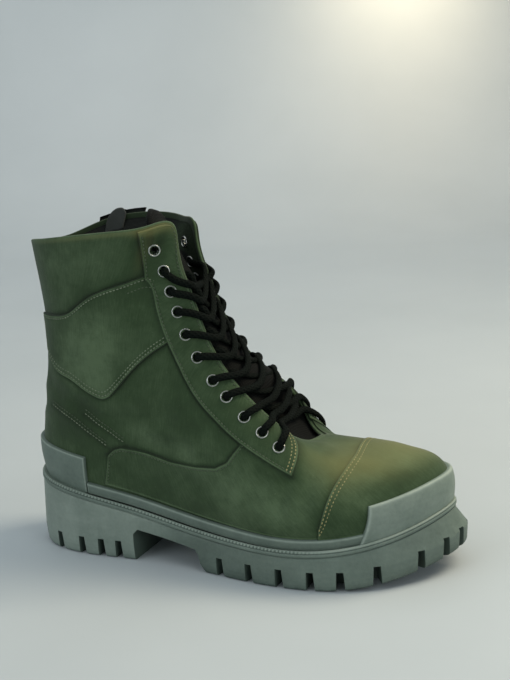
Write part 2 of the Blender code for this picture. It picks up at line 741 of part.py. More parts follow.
# Eyelets and lace

def eyelet_profile():
    """Half section at +X, down the outer side and up the bore."""
    mesh = bpy.data.meshes.new("eyelet")
    points = [(EYELET_BORE, EYELET_HEIGHT), (EYELET_FLANGE, 0), (EYELET_BARREL, 0),
              (EYELET_BARREL, -EYELET_DEPTH), (EYELET_BORE, -EYELET_DEPTH)]
    edges = [(place, (place + 1) % len(points)) for place in range(len(points))]
    mesh.from_pydata([(radius, 0, height) for radius, height in points], edges, [])
    return mesh


def make_eyelets(group, parent):
    height = LAYER_GAP + DENIM + EYELET_GAP
    for row, eyelet in enumerate(EYELETS, 1):
        station, level = on_eyestay(*eyelet)
        for side, place in (("lateral", station), ("medial", ROUND - station)):
            made = add_object(f"eyelet_{side}_{row:02d}", eyelet_profile(), group, "metal", parent)
            made.matrix_local = seat_matrix(place, level, height)
            turned = made.modifiers.new("turned", "SCREW")
            turned.steps = EYELET_SIDES
            turned.render_steps = EYELET_SIDES
            turned.use_merge_vertices = True
            turned.merge_threshold = 0.01 * MM


def lace_end(row, inner):
    """Places over an eyelet and over the throat edge beside it."""
    over_eyelet = LAYER_GAP + DENIM + EYELET_GAP + EYELET_HEIGHT + LACE_EYELET_GAP + LACE_RADIUS
    over_edge = LAYER_GAP + DENIM + LACE_EDGE_GAP + LACE_RADIUS
    along, across = EYELETS[row]
    station, level = np.linspace(on_eyestay(along, across), on_eyestay(along, 0), 3).T
    return skin(ROUND - station if inner else station, level, np.linspace(over_eyelet, over_edge, 3))


def lace_route(row):
    """From an outer eyelet over both throat edges to the inner eyelet one row further down."""
    outer = lace_end(row, inner=False)
    lowest = row + 1 == EYELET_ROWS
    inner = lace_end(row if lowest else row + 1, inner=True)[::-1]
    shares = LACE_TAIL if lowest else LACE_SHARES
    across = bridge(outer[2], inner[0], outer[1], inner[1], shares)
    points = np.concatenate([outer, across] if lowest else [outer, across, inner])
    return spline(np.arange(len(points)), points, np.linspace(0, len(points) - 1, LACE_POINTS))


def make_laces(group, parent):
    for row in range(1, EYELET_ROWS):
        curve = bpy.data.curves.new(f"lace_{row + 1:02d}", "CURVE")
        curve.dimensions = "3D"
        curve.bevel_depth = LACE_RADIUS
        curve.bevel_resolution = 1
        curve.render_resolution_u = 0
        curve.use_fill_caps = True
        route = lace_route(row)
        run = curve.splines.new("POLY")
        run.points.add(len(route) - 1)
        for point, place in zip(run.points, route):
            point.co = (*place, 1)
        add_object(curve.name, curve, group, "black_cloth", parent)


# Zip

def zip_strip(half, lift):
    at, level = np.meshgrid(np.linspace(ZIP_STATION - half, ZIP_STATION + half, 3),
                            np.linspace(*ZIP_LEVELS, ZIP_ROWS), indexing="ij")
    return skin(at, level, lift)


def box_mesh(name, size, middle):
    bm = bmesh.new()
    bmesh.ops.create_cube(bm, size=1, matrix=Matrix.Translation(middle) @ Matrix.Diagonal((*size, 1)))
    mesh = bpy.data.meshes.new(name)
    bm.to_mesh(mesh)
    bm.free()
    return mesh


def rod_mesh(name, radius, length, sides):
    """Rod along the local X axis."""
    bm = bmesh.new()
    turn = Matrix.Rotation(math.radians(90), 4, "Y")
    bmesh.ops.create_cone(bm, cap_ends=True, segments=sides, radius1=radius, radius2=radius, depth=length,
                          matrix=turn)
    mesh = bpy.data.meshes.new(name)
    bm.to_mesh(mesh)
    bm.free()
    return mesh


def make_guard(group, parent):
    """Rounded tab inside the wall, standing above the collar behind the zip."""
    guard = np.array(GUARD)
    at = guard[:, 0] + ZIP_STATION
    grid = between(np.stack([at, guard[:, 1]], axis=-1), np.stack([at, guard[:, 2]], axis=-1), GUARD_COLUMNS)
    sheet("zip_guard", skin(*grid, -(WALL + GUARD_GAP + GUARD_THICKNESS)), GUARD_THICKNESS, "black_cloth",
          group, parent)


def make_zip(group, cutters, parent):
    sheet("zip_tape", zip_strip(TAPE_HALF, LAYER_GAP), TAPE, "black_cloth", group, parent)
    chain_lift = LAYER_GAP + TAPE + SEAT_GAP
    sheet("zip_chain", zip_strip(CHAIN_HALF, chain_lift), CHAIN, "black_metal", group, parent)
    slider_top = chain_lift + CHAIN + SEAT_GAP + SLIDER_SIZE.z
    pivot_height = slider_top + EYE_RADIUS + SEAT_GAP
    pivot = seat_matrix(ZIP_STATION, SLIDER_LEVEL, pivot_height)

    def tool(mesh):
        made = add_object(mesh.name, mesh, cutters, None, parent)
        made.matrix_local = pivot
        made.hide_render = True
        made.display_type = "WIRE"
        return made

    plate_middle = Vector((0, 0, slider_top - SLIDER_SIZE.z / 2 - pivot_height))
    slider = add_object("zip_slider", box_mesh("zip_slider", SLIDER_SIZE, plate_middle), group,
                        "black_metal", parent)
    slider.matrix_local = pivot
    ear_middle = slider_top - SEAT_GAP - pivot_height + EAR_SIZE.z / 2
    for side in (-1, 1):
        join(slider, tool(box_mesh("slider_ear", EAR_SIZE, Vector((side * EAR_OFFSET, 0, ear_middle)))))
    join(slider, tool(rod_mesh("slider_pin", PIN_RADIUS, 2 * EAR_OFFSET, PIN_SIDES)))

    eye = rod_mesh("zip_pull", EYE_RADIUS, PULL_WIDTH, EYE_SIDES)
    pull = add_object("zip_pull", eye, group, "black_metal", parent)
    pull.matrix_local = pivot
    tab_size = Vector((PULL_WIDTH, PULL_LENGTH, PULL_THICKNESS))
    join(pull, tool(box_mesh("pull_tab", tab_size, Vector((0, -PULL_LENGTH / 2, 0)))))
    cut(pull, tool(rod_mesh("pull_hole", EYE_HOLE, 2 * PULL_WIDTH, EYE_SIDES)))


def main():
    clear_scene()
    parts = new_collection("denim_boot")
    cutters = new_collection("cutters")
    frame = bpy.data.objects.new("boot_frame", None)
    parts.objects.link(frame)
    plan = outline(loop_stations())
    frame.location = (*-(plan.min(axis=0) + plan.max(axis=0)) / 2, 0)
    holes = hole_cutter(cutters, frame)
    make_outsole(parts, cutters, frame)
    make_insole(parts, frame)
    make_upper(parts, frame)
    make_rubber(parts, frame)
    make_overlays(holes, parts, frame)
    make_tongue(parts, frame)
    make_eyelets(parts, frame)
    make_laces(parts, frame)
    make_guard(parts, frame)
    make_zip(parts, cutters, frame)


main()
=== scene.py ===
import math

import bmesh
import bpy
import numpy as np
from mathutils import Matrix, Vector


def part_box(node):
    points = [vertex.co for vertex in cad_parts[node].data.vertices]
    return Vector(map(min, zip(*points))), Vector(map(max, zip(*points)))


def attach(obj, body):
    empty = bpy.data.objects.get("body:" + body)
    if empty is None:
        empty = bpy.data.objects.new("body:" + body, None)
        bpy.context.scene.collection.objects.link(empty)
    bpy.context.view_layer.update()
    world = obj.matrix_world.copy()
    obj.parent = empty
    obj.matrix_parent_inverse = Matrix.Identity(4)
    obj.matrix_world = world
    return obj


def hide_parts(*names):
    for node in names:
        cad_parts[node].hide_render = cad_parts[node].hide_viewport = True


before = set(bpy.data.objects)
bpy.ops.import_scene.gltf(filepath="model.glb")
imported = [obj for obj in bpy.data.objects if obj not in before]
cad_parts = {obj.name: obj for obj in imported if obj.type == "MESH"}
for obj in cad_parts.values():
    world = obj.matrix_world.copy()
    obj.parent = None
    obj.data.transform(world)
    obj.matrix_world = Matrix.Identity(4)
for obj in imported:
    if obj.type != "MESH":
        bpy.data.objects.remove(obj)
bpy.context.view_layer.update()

mm = 0.001

# The boot is drawn in millimetres from the back of the heel: x to the toe, y to the inner side, z up.
# Stations run round it (0 toe tip, 11 heel, back along the inner side to 22), levels up from sole to edge.
boot = {
    "half": 11,
    "feather": 7.0,                 # upper stands in from the rim
    "lipDrop": 2.0,                 # seat of the upper under the rim
    "seatGap": 0.4,
    "lineLevels": (0, 0.2, 0.55, 1.0),
    "shoulderLean": 0.6,
    "edgeLean": 0.2,
}

# station, x, outer y, inner y
outlineRows = np.array([
    (0, 305, 9, 9), (1, 297, -14, 28), (2, 277, -37, 44), (3, 248, -54, 51),
    (4, 213, -60, 52), (5, 178, -57, 47), (6, 145, -50, 40), (7, 112, -44, 37),
    (8, 80, -42, 37), (9, 48, -41, 38), (10, 15, -29, 28), (11, 0, 0, 0),
])
# x, rim height
rimRows = np.array([
    (0, 52), (48, 45), (90, 37.5), (130, 30.5), (170, 27), (210, 26), (250, 30), (280, 37), (305, 46),
])
# station, inset of the rim from the wall
rimInsetRows = np.array([(0, 7), (1, 5.5), (2, 3), (3, 1), (4, 0.5), (8, 0.5), (11, 1)])
# station, outward, rise of the widest line above the feather line
bellyRows = np.array([
    (0, 1.5, 17), (2, 2, 16), (4, 3, 17), (6, 1.5, 20), (8, 1, 22), (10, 2.5, 22), (11, 3.5, 22),
])
# station, x, outer half width, inner half width, height, height on the inner side
shoulderRows = np.array([
    (0, 277, 0, 0, 74.5, 74.5), (1, 270, 17, 15, 72.5, 70), (2, 254, 30, 26, 70, 64.5),
    (3, 231, 38, 34, 70, 61), (4, 203, 42, 39.5, 76, 64.5), (5, 172, 41, 41, 85, 76),
    (6, 143, 38, 38, 96, 92), (7, 117, 36, 36, 112, 110), (8, 90, 36, 36, 128, 127),
    (9, 58, 35, 35, 132, 132), (10, 28, 25, 25, 131, 131), (11, 14.5, 0, 0, 130, 130),
])
# station, x, half widths, height, then x and height on the inner side
edgeRows = np.array([
    (0, 211, 0, 0, 83, 211, 83), (1, 209, 11, 9, 83.5, 208.5, 81), (2, 204, 19, 15.5, 86, 202.5, 81.8),
    (3, 196, 24, 22, 93, 194.5, 89), (4, 182, 25, 28, 106, 182, 106), (5, 164, 24, 24.5, 125, 161, 125),
    (6, 147, 22, 19, 151, 143, 151), (7, 135, 20, 16.5, 184, 132, 184), (7.7, 129, 20.5, 16.5, 213, 125, 212),
    (7.88, 128, 21.2, 17.2, 223.8, 124, 219.8), (8, 125.5, 23.5, 19.5, 227, 121.5, 222.5),
    (8.3, 116, 32, 28.5, 226, 113, 222.5), (9, 92, 44, 44, 223.5, 92, 223), (10, 40, 40, 40, 218.3, 40, 218.4),
    (10.5, 20.1, 23.2, 23.1, 215, 20.1, 210.5), (11, 12.5, 0, 0, 211.5, 12.5, 211.5),
])
loop = 2 * boot["half"]
nudge = 0.002                       # step in stations or levels that directions are taken over
lineLevels = np.array(boot["lineLevels"])


# Smooth curves through table rows

def slopes(knots, values, period=None):
    count = len(knots)
    spans = np.diff(knots)
    steps = np.diff(values, axis=0)
    if period is not None:
        spans = np.append(spans, knots[0] + period - knots[-1])
        steps = np.concatenate([steps, values[:1] - values[-1:]])
    matrix = np.zeros((count, count))
    right = np.zeros_like(values)
    for k in range(len(spans)):
        start, end = k, (k + 1) % count
        for here, there in ((start, end), (end, start)):
            matrix[here, here] += 2 / spans[k]
            matrix[here, there] += 1 / spans[k]
            right[here] += 3 * steps[k] / spans[k] ** 2
    return np.linalg.solve(matrix, right.reshape(count, -1)).reshape(values.shape)


def hermite(start, end, startSlope, endSlope, t):
    return (start * (1 + 2 * t) * (1 - t) ** 2 + startSlope * t * (1 - t) ** 2
            + end * t ** 2 * (3 - 2 * t) - endSlope * t ** 2 * (1 - t))


def spline(knots, values, at, period=None):
    knots, values, at = (np.asarray(each, float) for each in (knots, values, at))
    slope = slopes(knots, values, period)
    if period is not None:
        at = knots[0] + (at - knots[0]) % period
        knots = np.append(knots, knots[0] + period)
        values = np.concatenate([values, values[:1]])
        slope = np.concatenate([slope, slope[:1]])
    k = np.clip(np.searchsorted(knots, at, "right") - 1, 0, len(knots) - 2)
    shape = at.shape + (1,) * (values.ndim - 1)
    width = (knots[k + 1] - knots[k]).reshape(shape)
    t = (at - knots[k]).reshape(shape) / width
    return hermite(values[k], values[k + 1], slope[k] * width, slope[k + 1] * width, t)


def around(stations, outer, inner, at):
    stations = np.asarray(stations, float)
    knots = np.concatenate([stations, loop - stations[-2:0:-1]])
    return spline(knots, np.concatenate([outer, inner[-2:0:-1]]), at, loop)


def unit(vectors):
    return vectors / np.maximum(np.linalg.norm(vectors, axis=-1, keepdims=True), 1e-9)


def smooth(value, low, high):
    t = np.clip((value - low) / (high - low), 0, 1)
    return t * t * (3 - 2 * t)


def bell(away, reach):
    return np.exp(-(away / reach) ** 2)


def dome(distance, radius):
    # 0 at an edge, a quarter round up to 1 at the radius
    share = np.clip(distance / radius, 0, 1)
    return np.sqrt(1 - (1 - share) ** 2)


def runLength(points):
    # length along a row of points, starting at 0
    return np.concatenate([[0], np.cumsum(np.linalg.norm(np.diff(points, axis=0), axis=-1))])


def sampled(at, length, values):
    # points or directions at places along a run
    return np.stack([np.interp(at, length, column) for column in values.T], axis=-1)


def throughPoints(points, count):
    points = np.asarray(points, float)
    return spline(np.arange(len(points)), points, np.linspace(0, len(points) - 1, count))


def closeTo(points, run, reach):
    # which points lie near a run, and how far from it those are
    near = np.all((points > run.min(0) - reach) & (points < run.max(0) + reach), axis=-1)
    return near, np.min(np.linalg.norm(points[near][:, None] - run[None], axis=-1), axis=1)


# The upper's surface

def rimInset(at):
    return around(rimInsetRows[:, 0], rimInsetRows[:, 1], rimInsetRows[:, 1], at)


def rimHeight(x):
    return spline(rimRows[:, 0], rimRows[:, 1], np.clip(x, rimRows[0, 0], rimRows[-1, 0]))


def outline(at, inset=0.0):
    at = np.asarray(at, float)

    def wall(where):
        return around(outlineRows[:, 0], outlineRows[:, [1, 2]], outlineRows[:, [1, 3]], where)

    along = wall(at + nudge) - wall(at - nudge)
    inward = unit(np.stack([along[..., 1], -along[..., 0]], axis=-1))
    return wall(at) + inward * np.asarray(inset)[..., None]


def girthLine(rows, inner, lean, at):
    middle = (outlineRows[:, 2] + outlineRows[:, 3]) / 2.0
    points = around(rows[:, 0], rows[:, [1, 2, 4]] * (1, -1, 1), rows[:, inner], at)
    points[..., 1] += lean * around(outlineRows[:, 0], middle, middle, at)
    return points


def raised(plan, height):
    return np.concatenate([plan, np.broadcast_to(height, plan.shape[:-1])[..., None]], axis=-1)


def surface(station, level):
    station, level = np.broadcast_arrays(np.asarray(station, float), np.asarray(level, float))
    inset = rimInset(station) + boot["feather"]
    feather = outline(station, inset)
    foot = rimHeight(feather[..., 0]) - boot["lipDrop"] + boot["seatGap"]
    belly = around(bellyRows[:, 0], bellyRows[:, 1:], bellyRows[:, 1:], station)
    widest = outline(station, inset - belly[..., 0])
    lines = np.stack([raised(feather, foot), raised(widest, foot + belly[..., 1]),
                      girthLine(shoulderRows, [1, 3, 5], boot["shoulderLean"], station),
                      girthLine(edgeRows, [5, 3, 6], boot["edgeLean"], station)])
    slope = slopes(lineLevels, lines)
    k = np.clip(np.searchsorted(lineLevels, level, "right") - 1, 0, len(lineLevels) - 2)
    width = (lineLevels[k + 1] - lineLevels[k])[..., None]
    t = (level - lineLevels[k])[..., None] / width

    def pick(rows, index):
        return np.take_along_axis(rows, index[None, ..., None], axis=0)[0]

    return hermite(pick(lines, k), pick(lines, k + 1), pick(slope, k) * width, pick(slope, k + 1) * width, t)


def normals(station, level):
    along = surface(station + nudge, level) - surface(station - nudge, level)
    upward = surface(station, level + nudge) - surface(station, level - nudge)
    return unit(np.cross(upward, along))


# Soft troughs and ridges of the worn cloth: points as (station, level), depth and width in mm
creases = (
    {"points": ((6.9, 0.50), (7.5, 0.44), (8.2, 0.40), (9.0, 0.42)), "depth": 0.9, "width": 6.5},
    {"points": ((6.4, 0.42), (7.0, 0.385), (7.7, 0.365)), "depth": 0.7, "width": 5.0},
    {"points": ((9.9, 0.47), (9.3, 0.43), (8.8, 0.405)), "depth": 0.8, "width": 6.0},
    {"points": ((10.6, 0.52), (10.9, 0.50), (11.3, 0.51)), "depth": 0.9, "width": 5.5},
    {"points": ((10.5, 0.40), (10.9, 0.385), (11.4, 0.40)), "depth": 0.7, "width": 5.0},
    {"points": ((3.75, 0.30), (3.55, 0.47), (3.1, 0.66), (2.4, 0.83)), "depth": 0.7, "width": 5.0},
    {"points": ((4.4, 0.24), (4.15, 0.37), (3.95, 0.46)), "depth": 0.6, "width": 4.5},
    {"points": ((8.9, 0.62), (8.5, 0.66), (8.1, 0.72)), "depth": -0.7, "width": 9.0},
    {"points": ((9.6, 0.86), (9.0, 0.89), (8.5, 0.92)), "depth": 0.5, "width": 9.0},
    {"points": ((6.6, 0.30), (6.0, 0.29), (5.4, 0.31)), "depth": 0.5, "width": 6.0},
    {"points": ((15.1, 0.50), (14.5, 0.44), (13.8, 0.40)), "depth": 0.9, "width": 6.5},
    {"points": ((18.25, 0.30), (18.45, 0.47), (18.9, 0.66), (19.6, 0.83)), "depth": 0.7, "width": 5.0},
    {"points": ((15.6, 0.42), (15.0, 0.385), (14.3, 0.365)), "depth": 0.7, "width": 5.0},
    {"points": ((1.7, 0.52), (0.7, 0.60), (-0.6, 0.60), (-1.6, 0.53)), "depth": 0.35, "width": 7.0},
)
# ridge beside each trough as shares of its depth and width, height of the lumps in mm
wrinkle = {"ridge": 0.45, "away": 1.9, "wide": 0.8, "lump": 0.22}


def relief(level, points):
    lift = np.zeros(points.shape[:-1])
    for crease in creases:
        near, far = closeTo(points, surface(*throughPoints(crease["points"], 30).T), 30)
        share = far / crease["width"]
        ridge = wrinkle["ridge"] * bell(share - wrinkle["away"], wrinkle["wide"])
        lift[near] += crease["depth"] * (ridge - bell(share, 1.0))
    # low lumps all over, fading out at the foot and towards the edge
    x, y, z = np.moveaxis(points, -1, 0)
    lumps = np.sin(x / 11.0 + 1.3 * np.sin(z / 17.0)) * np.sin(z / 13.0 + y / 19.0)
    return lift + wrinkle["lump"] * lumps * smooth(level, 0.12, 0.3) * (1 - 0.7 * smooth(level, 0.9, 1.0))


def skin(station, level, height):
    station, level = np.broadcast_arrays(np.asarray(station, float), np.asarray(level, float))
    points = surface(station, level)
    lift = np.asarray(height) + relief(level, points)
    return points + normals(station, level) * lift[..., None]


def levelAt(station, height):
    levels = np.linspace(0, lineLevels[2], 60)
    rows = surface(np.asarray(station, float)[:, None], levels[None, :])[..., 2]
    return np.array([np.interp(row[0] + tall, row, levels) for row, tall in zip(rows, height)])


outsoleLow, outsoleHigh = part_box("outsole")
wallPlan = outline(np.linspace(0, loop, 400))
origin = np.array([outsoleLow.x / mm, (outsoleLow.y + outsoleHigh.y) / 2 / mm
                   - (wallPlan[:, 1].min() + wallPlan[:, 1].max()) / 2, 0])


def toWorld(points):
    return (np.asarray(points) + origin) * mm


print("surface ready, origin", np.round(origin, 2))


# Mesh helpers

def addObject(name, mesh):
    made = bpy.data.objects.new(name, mesh)
    bpy.context.scene.collection.objects.link(made)
    return made


def meshObject(name, points, faces, uv=None, values=None):
    mesh = bpy.data.meshes.new(name)
    faces = np.asarray(faces)
    sides = faces.shape[1]
    mesh.vertices.add(len(points))
    mesh.vertices.foreach_set("co", toWorld(points).astype(np.float32).ravel())
    mesh.loops.add(faces.size)
    mesh.loops.foreach_set("vertex_index", faces.astype(np.int32).ravel())
    mesh.polygons.add(len(faces))
    mesh.polygons.foreach_set("loop_start", np.arange(0, faces.size, sides, dtype=np.int32))
    mesh.update(calc_edges=True)
    mesh.validate()
    mesh.shade_smooth()
    if uv is not None:
        layer = mesh.uv_layers.new(name="cloth")
        layer.data.foreach_set("uv", np.asarray(uv, np.float32)[faces.ravel()].ravel())
    for key, value in (values or {}).items():
        layer = mesh.attributes.new(key, "FLOAT", "POINT")
        layer.data.foreach_set("value", np.asarray(value, np.float32).ravel())
    return addObject(name, mesh)


def bmObject(name, bm):
    mesh = bpy.data.meshes.new(name)
    bm.to_mesh(mesh)
    bm.free()
    return addObject(name, mesh)


def gridFaces(rows, cols, closedCols=False):
    r, c = np.meshgrid(np.arange(rows - 1), np.arange(cols if closedCols else cols - 1), indexing="ij")
    here, across = r * cols + c, r * cols + (c + 1) % cols
    return np.stack([here, across, across + cols, here + cols], axis=-1).reshape(-1, 4)


def gridUv(points):
    # arc lengths along rows and columns, in millimetres
    along = np.linalg.norm(np.diff(points, axis=0), axis=-1)
    across = np.linalg.norm(np.diff(points, axis=1), axis=-1)
    u = np.concatenate([[0], np.cumsum(along.mean(axis=1))])[:, None] + np.zeros(points.shape[1])[None]
    v = np.concatenate([np.zeros((points.shape[0], 1)), np.cumsum(across, axis=1)], axis=1)
    return np.stack([u, v], axis=-1).reshape(-1, 2)


def gridObject(name, points, values=None, faces=None):
    rows, cols = points.shape[:2]
    faces = gridFaces(rows, cols) if faces is None else faces
    flat = {key: np.asarray(value).ravel() for key, value in (values or {}).items()}
    return meshObject(name, points.reshape(-1, 3), faces, gridUv(points), flat)


def tube(points, ups, width, height, sides=14):
    # flat cord along points, its broad side facing the up vectors
    along = unit(np.gradient(points, axis=0))
    side = unit(np.cross(along, ups))
    up = np.cross(side, along)
    turn = np.linspace(0, 2 * math.pi, sides, endpoint=False)
    rings = points[:, None] + (np.cos(turn)[None, :, None] * side[:, None] * width / 2
                               + np.sin(turn)[None, :, None] * up[:, None] * height / 2)
    faces = gridFaces(len(points), sides, closedCols=True)[:, ::-1]
    uv = np.stack(np.broadcast_arrays(turn[None] / (2 * math.pi), runLength(points)[:, None]), axis=-1)
    return rings.reshape(-1, 3), faces, uv.reshape(-1, 2)


def twoSided(front, back):
    # one sheet from two grids that share their border
    rows, cols = front.shape[:2]
    faces = gridFaces(rows, cols)
    points = np.concatenate([front.reshape(-1, 3), back.reshape(-1, 3)])
    return points, np.concatenate([faces, faces[:, ::-1] + rows * cols])


def joined(pieces):
    # stacks (points, faces, uv) triples into one
    count, points, faces, uv = 0, [], [], []
    for piece in pieces:
        points.append(piece[0])
        faces.append(piece[1] + count)
        uv.append(piece[2])
        count += len(piece[0])
    return np.concatenate(points), np.concatenate(faces), np.concatenate(uv)


def dress(piece, finish, replaced=(), body="boot"):
    piece.data.materials.clear()
    piece.data.materials.append(finish)
    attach(piece, body)
    if replaced:
        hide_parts(*replaced)
    return piece


# Materials

def newMaterial(name):
    made = bpy.data.materials.new(name)
    made.use_nodes = True
    return made, made.node_tree, made.node_tree.nodes["Principled BSDF"]


def setInputs(tree, node, values):
    # links sockets, sets plain values
    for key, value in values.items():
        if isinstance(value, bpy.types.NodeSocket):
            tree.links.new(value, node.inputs[key])
        else:
            node.inputs[key].default_value = value


def addNode(tree, kind, settings=None, **values):
    made = tree.nodes.new(kind)
    for key, value in (settings or {}).items():
        setattr(made, key, value)
    setInputs(tree, made, {key.replace("_", " "): value for key, value in values.items()})
    return made


def mathNode(tree, operation, *values):
    made = addNode(tree, "ShaderNodeMath", {"operation": operation})
    setInputs(tree, made, dict(enumerate(values)))
    return made.outputs[0]


def scaled(tree, value, factor, plus):
    return mathNode(tree, "MULTIPLY_ADD", value, factor, plus)


def noise(tree, vector, scale, detail=3.0, rough=0.55):
    return addNode(tree, "ShaderNodeTexNoise", Vector=vector, Scale=scale, Detail=detail,
                   Roughness=rough).outputs["Fac"]


def bands(tree, vector, scale, axis="X", **values):
    return addNode(tree, "ShaderNodeTexWave", {"wave_type": "BANDS", "bands_direction": axis},
                   Vector=vector, Scale=scale, **values).outputs["Fac"]


def ramp(tree, fac, *stops):
    made = addNode(tree, "ShaderNodeValToRGB", Fac=fac)
    while len(made.color_ramp.elements) < len(stops):
        made.color_ramp.elements.new(0.5)
    for element, (place, colour) in zip(made.color_ramp.elements, stops):
        element.position = place
        element.color = (*colour, 1)
    return made.outputs["Color"]


def mixColour(tree, fac, first, second):
    made = addNode(tree, "ShaderNodeMix", {"data_type": "RGBA"})
    setInputs(tree, made, {0: fac, 6: first, 7: second})
    return made.outputs[2]


def stretch(tree, vector, scale, turn=0.0):
    return addNode(tree, "ShaderNodeMapping", Vector=vector, Scale=scale,
                   Rotation=(0, 0, math.radians(turn))).outputs[0]


def bump(tree, height, strength, distance, **under):
    return addNode(tree, "ShaderNodeBump", Height=height, Strength=strength, Distance=distance,
                   **under).outputs[0]


def attribute(tree, name):
    return addNode(tree, "ShaderNodeAttribute", {"attribute_name": name}).outputs["Fac"]


def clothPlace(tree):
    return addNode(tree, "ShaderNodeUVMap", {"uv_map": "cloth"}).outputs[0]


def objectPlace(tree):
    return addNode(tree, "ShaderNodeTexCoord").outputs["Object"]


bandScale = 0.314                   # wave scale of one band a millimetre


def denimMaterial():
    look = {
        "deep": (0.011, 0.024, 0.008), "body": (0.027, 0.053, 0.020), "fadedAndLit": (0.086, 0.132, 0.068),
        "warm": (0.185, 0.185, 0.068, 1), "lint": (0.17, 0.20, 0.13, 1),
        "twill": 0.6,               # pitch of the diagonal rib, mm
    }
    made, tree, shader = newMaterial("oliveDenim")
    cloth, place = clothPlace(tree), objectPlace(tree)
    rib = bands(tree, stretch(tree, cloth, (1, 1, 1), 32), bandScale / look["twill"],
                Distortion=1.1, Detail=2.0, Detail_Scale=3.0)
    yarn = noise(tree, stretch(tree, cloth, (0.5, 3.2, 1), -8), 1.0, 2.0)
    slub = noise(tree, stretch(tree, cloth, (0.9, 0.10, 1), 4), 1.0, 3.0, 0.6)
    broad = noise(tree, place, 26, 3.0)
    blotch = noise(tree, place, 95, 4.0, 0.6)
    fine = noise(tree, place, 900, 2.0)
    shade = scaled(tree, broad, 0.55, -0.17)
    for pattern, share in ((blotch, 0.40), (slub, 0.32), (rib, 0.06), (yarn, 0.16)):
        shade = scaled(tree, pattern, share, shade)
    brushed = mathNode(tree, "ADD", blotch, scaled(tree, yarn, 0.5, 0.25))
    # paler at fades, at rubbed edges and at painted highlights
    shade = scaled(tree, attribute(tree, "wearAndHighlight"), brushed, shade)
    # darker where painted shade is set: beside overlying edges, in the seam grooves, down inside the collar's
    # fold, and at the darker places
    shade = mathNode(tree, "SUBTRACT", shade, attribute(tree, "dark"))
    colour = ramp(tree, shade, (0.12, look["deep"]), (0.52, look["body"]), (1.0, look["fadedAndLit"]))
    # warm tint where the warm attribute is set: partly yellowed cloth, partly a painted warm highlight on the
    # toe
    colour = mixColour(tree, attribute(tree, "warm"), colour, look["warm"])
    speck = ramp(tree, fine, (0.70, (0, 0, 0)), (0.78, (1, 1, 1)))
    colour = mixColour(tree, mathNode(tree, "MULTIPLY", speck, 0.28), colour, look["lint"])
    weave = scaled(tree, slub, 0.8, scaled(tree, yarn, 0.6, rib))
    bent = bump(tree, blotch, 0.25, 0.0012)
    setInputs(tree, shader, {
        "Base Color": colour, "Roughness": scaled(tree, blotch, 0.16, 0.76), "Specular IOR Level": 0.25,
        "Sheen Weight": 0.12, "Sheen Roughness": 0.5, "Normal": bump(tree, weave, 0.18, 0.00025, Normal=bent)})
    return made


def rubberMaterial():
    look = {"deep": (0.060, 0.086, 0.070), "body": (0.140, 0.184, 0.156), "dustyAndLit": (0.29, 0.345, 0.30)}
    made, tree, shader = newMaterial("greyRubber")
    place = objectPlace(tree)
    broad = noise(tree, place, 34, 4.0, 0.6)
    grain = noise(tree, place, 420, 3.0, 0.65)
    streak = noise(tree, stretch(tree, place, (40, 40, 240)), 1.0, 3.0)
    shade = scaled(tree, streak, 0.14, scaled(tree, grain, 0.22, scaled(tree, broad, 0.62, -0.05)))
    # paler at wear and at painted highlights along edges and the bead's crest; darker where the dark attribute
    # is set: painted shade in gaps, grooves, notches, the arch and the shank, and darker towards the tread
    shade = mathNode(tree, "ADD", shade, attribute(tree, "wearAndHighlight"))
    shade = mathNode(tree, "SUBTRACT", shade, attribute(tree, "dark"))
    colour = ramp(tree, shade, (0.10, look["deep"]), (0.50, look["body"]), (1.0, look["dustyAndLit"]))
    bent = bump(tree, broad, 0.12, 0.001)
    setInputs(tree, shader, {
        "Base Color": colour, "Roughness": scaled(tree, broad, 0.25, 0.46), "Specular IOR Level": 0.4,
        "Normal": bump(tree, grain, 0.25, 0.0004, Normal=bent)})
    return made


def textileMaterial(name, dark, light, pitch, coarse):
    made, tree, shader = newMaterial(name)
    cloth = clothPlace(tree)
    weft, warp = (bands(tree, cloth, bandScale / pitch, axis, Distortion=0.6) for axis in "XY")
    knit = mathNode(tree, "MULTIPLY", weft, warp)
    cloudy = noise(tree, objectPlace(tree), 60, 3.0)
    shade = scaled(tree, cloudy, 0.6, mathNode(tree, "MULTIPLY", knit, coarse))
    setInputs(tree, shader, {
        "Base Color": ramp(tree, shade, (0.15, dark), (0.95, light)), "Specular IOR Level": 0.1,
        "Roughness": scaled(tree, cloudy, 0.15, 0.75), "Sheen Weight": 0.02,
        "Normal": bump(tree, knit, 0.5, 0.0004)})
    return made


def liningMaterial():
    made, tree, shader = newMaterial("bootLining")
    cell = addNode(tree, "ShaderNodeTexVoronoi", Vector=clothPlace(tree), Scale=0.55).outputs["Distance"]
    cloudy = noise(tree, objectPlace(tree), 70, 3.0)
    black = ramp(tree, cloudy, (0.2, (0.0025, 0.0035, 0.003)), (0.9, (0.009, 0.011, 0.010)))
    olive = ramp(tree, cloudy, (0.2, (0.012, 0.021, 0.011)), (0.9, (0.040, 0.060, 0.034)))
    setInputs(tree, shader, {
        "Base Color": mixColour(tree, attribute(tree, "facing"), black, olive), "Specular IOR Level": 0.2,
        "Roughness": scaled(tree, cloudy, 0.15, 0.74), "Normal": bump(tree, cell, 0.4, 0.0006)})
    return made


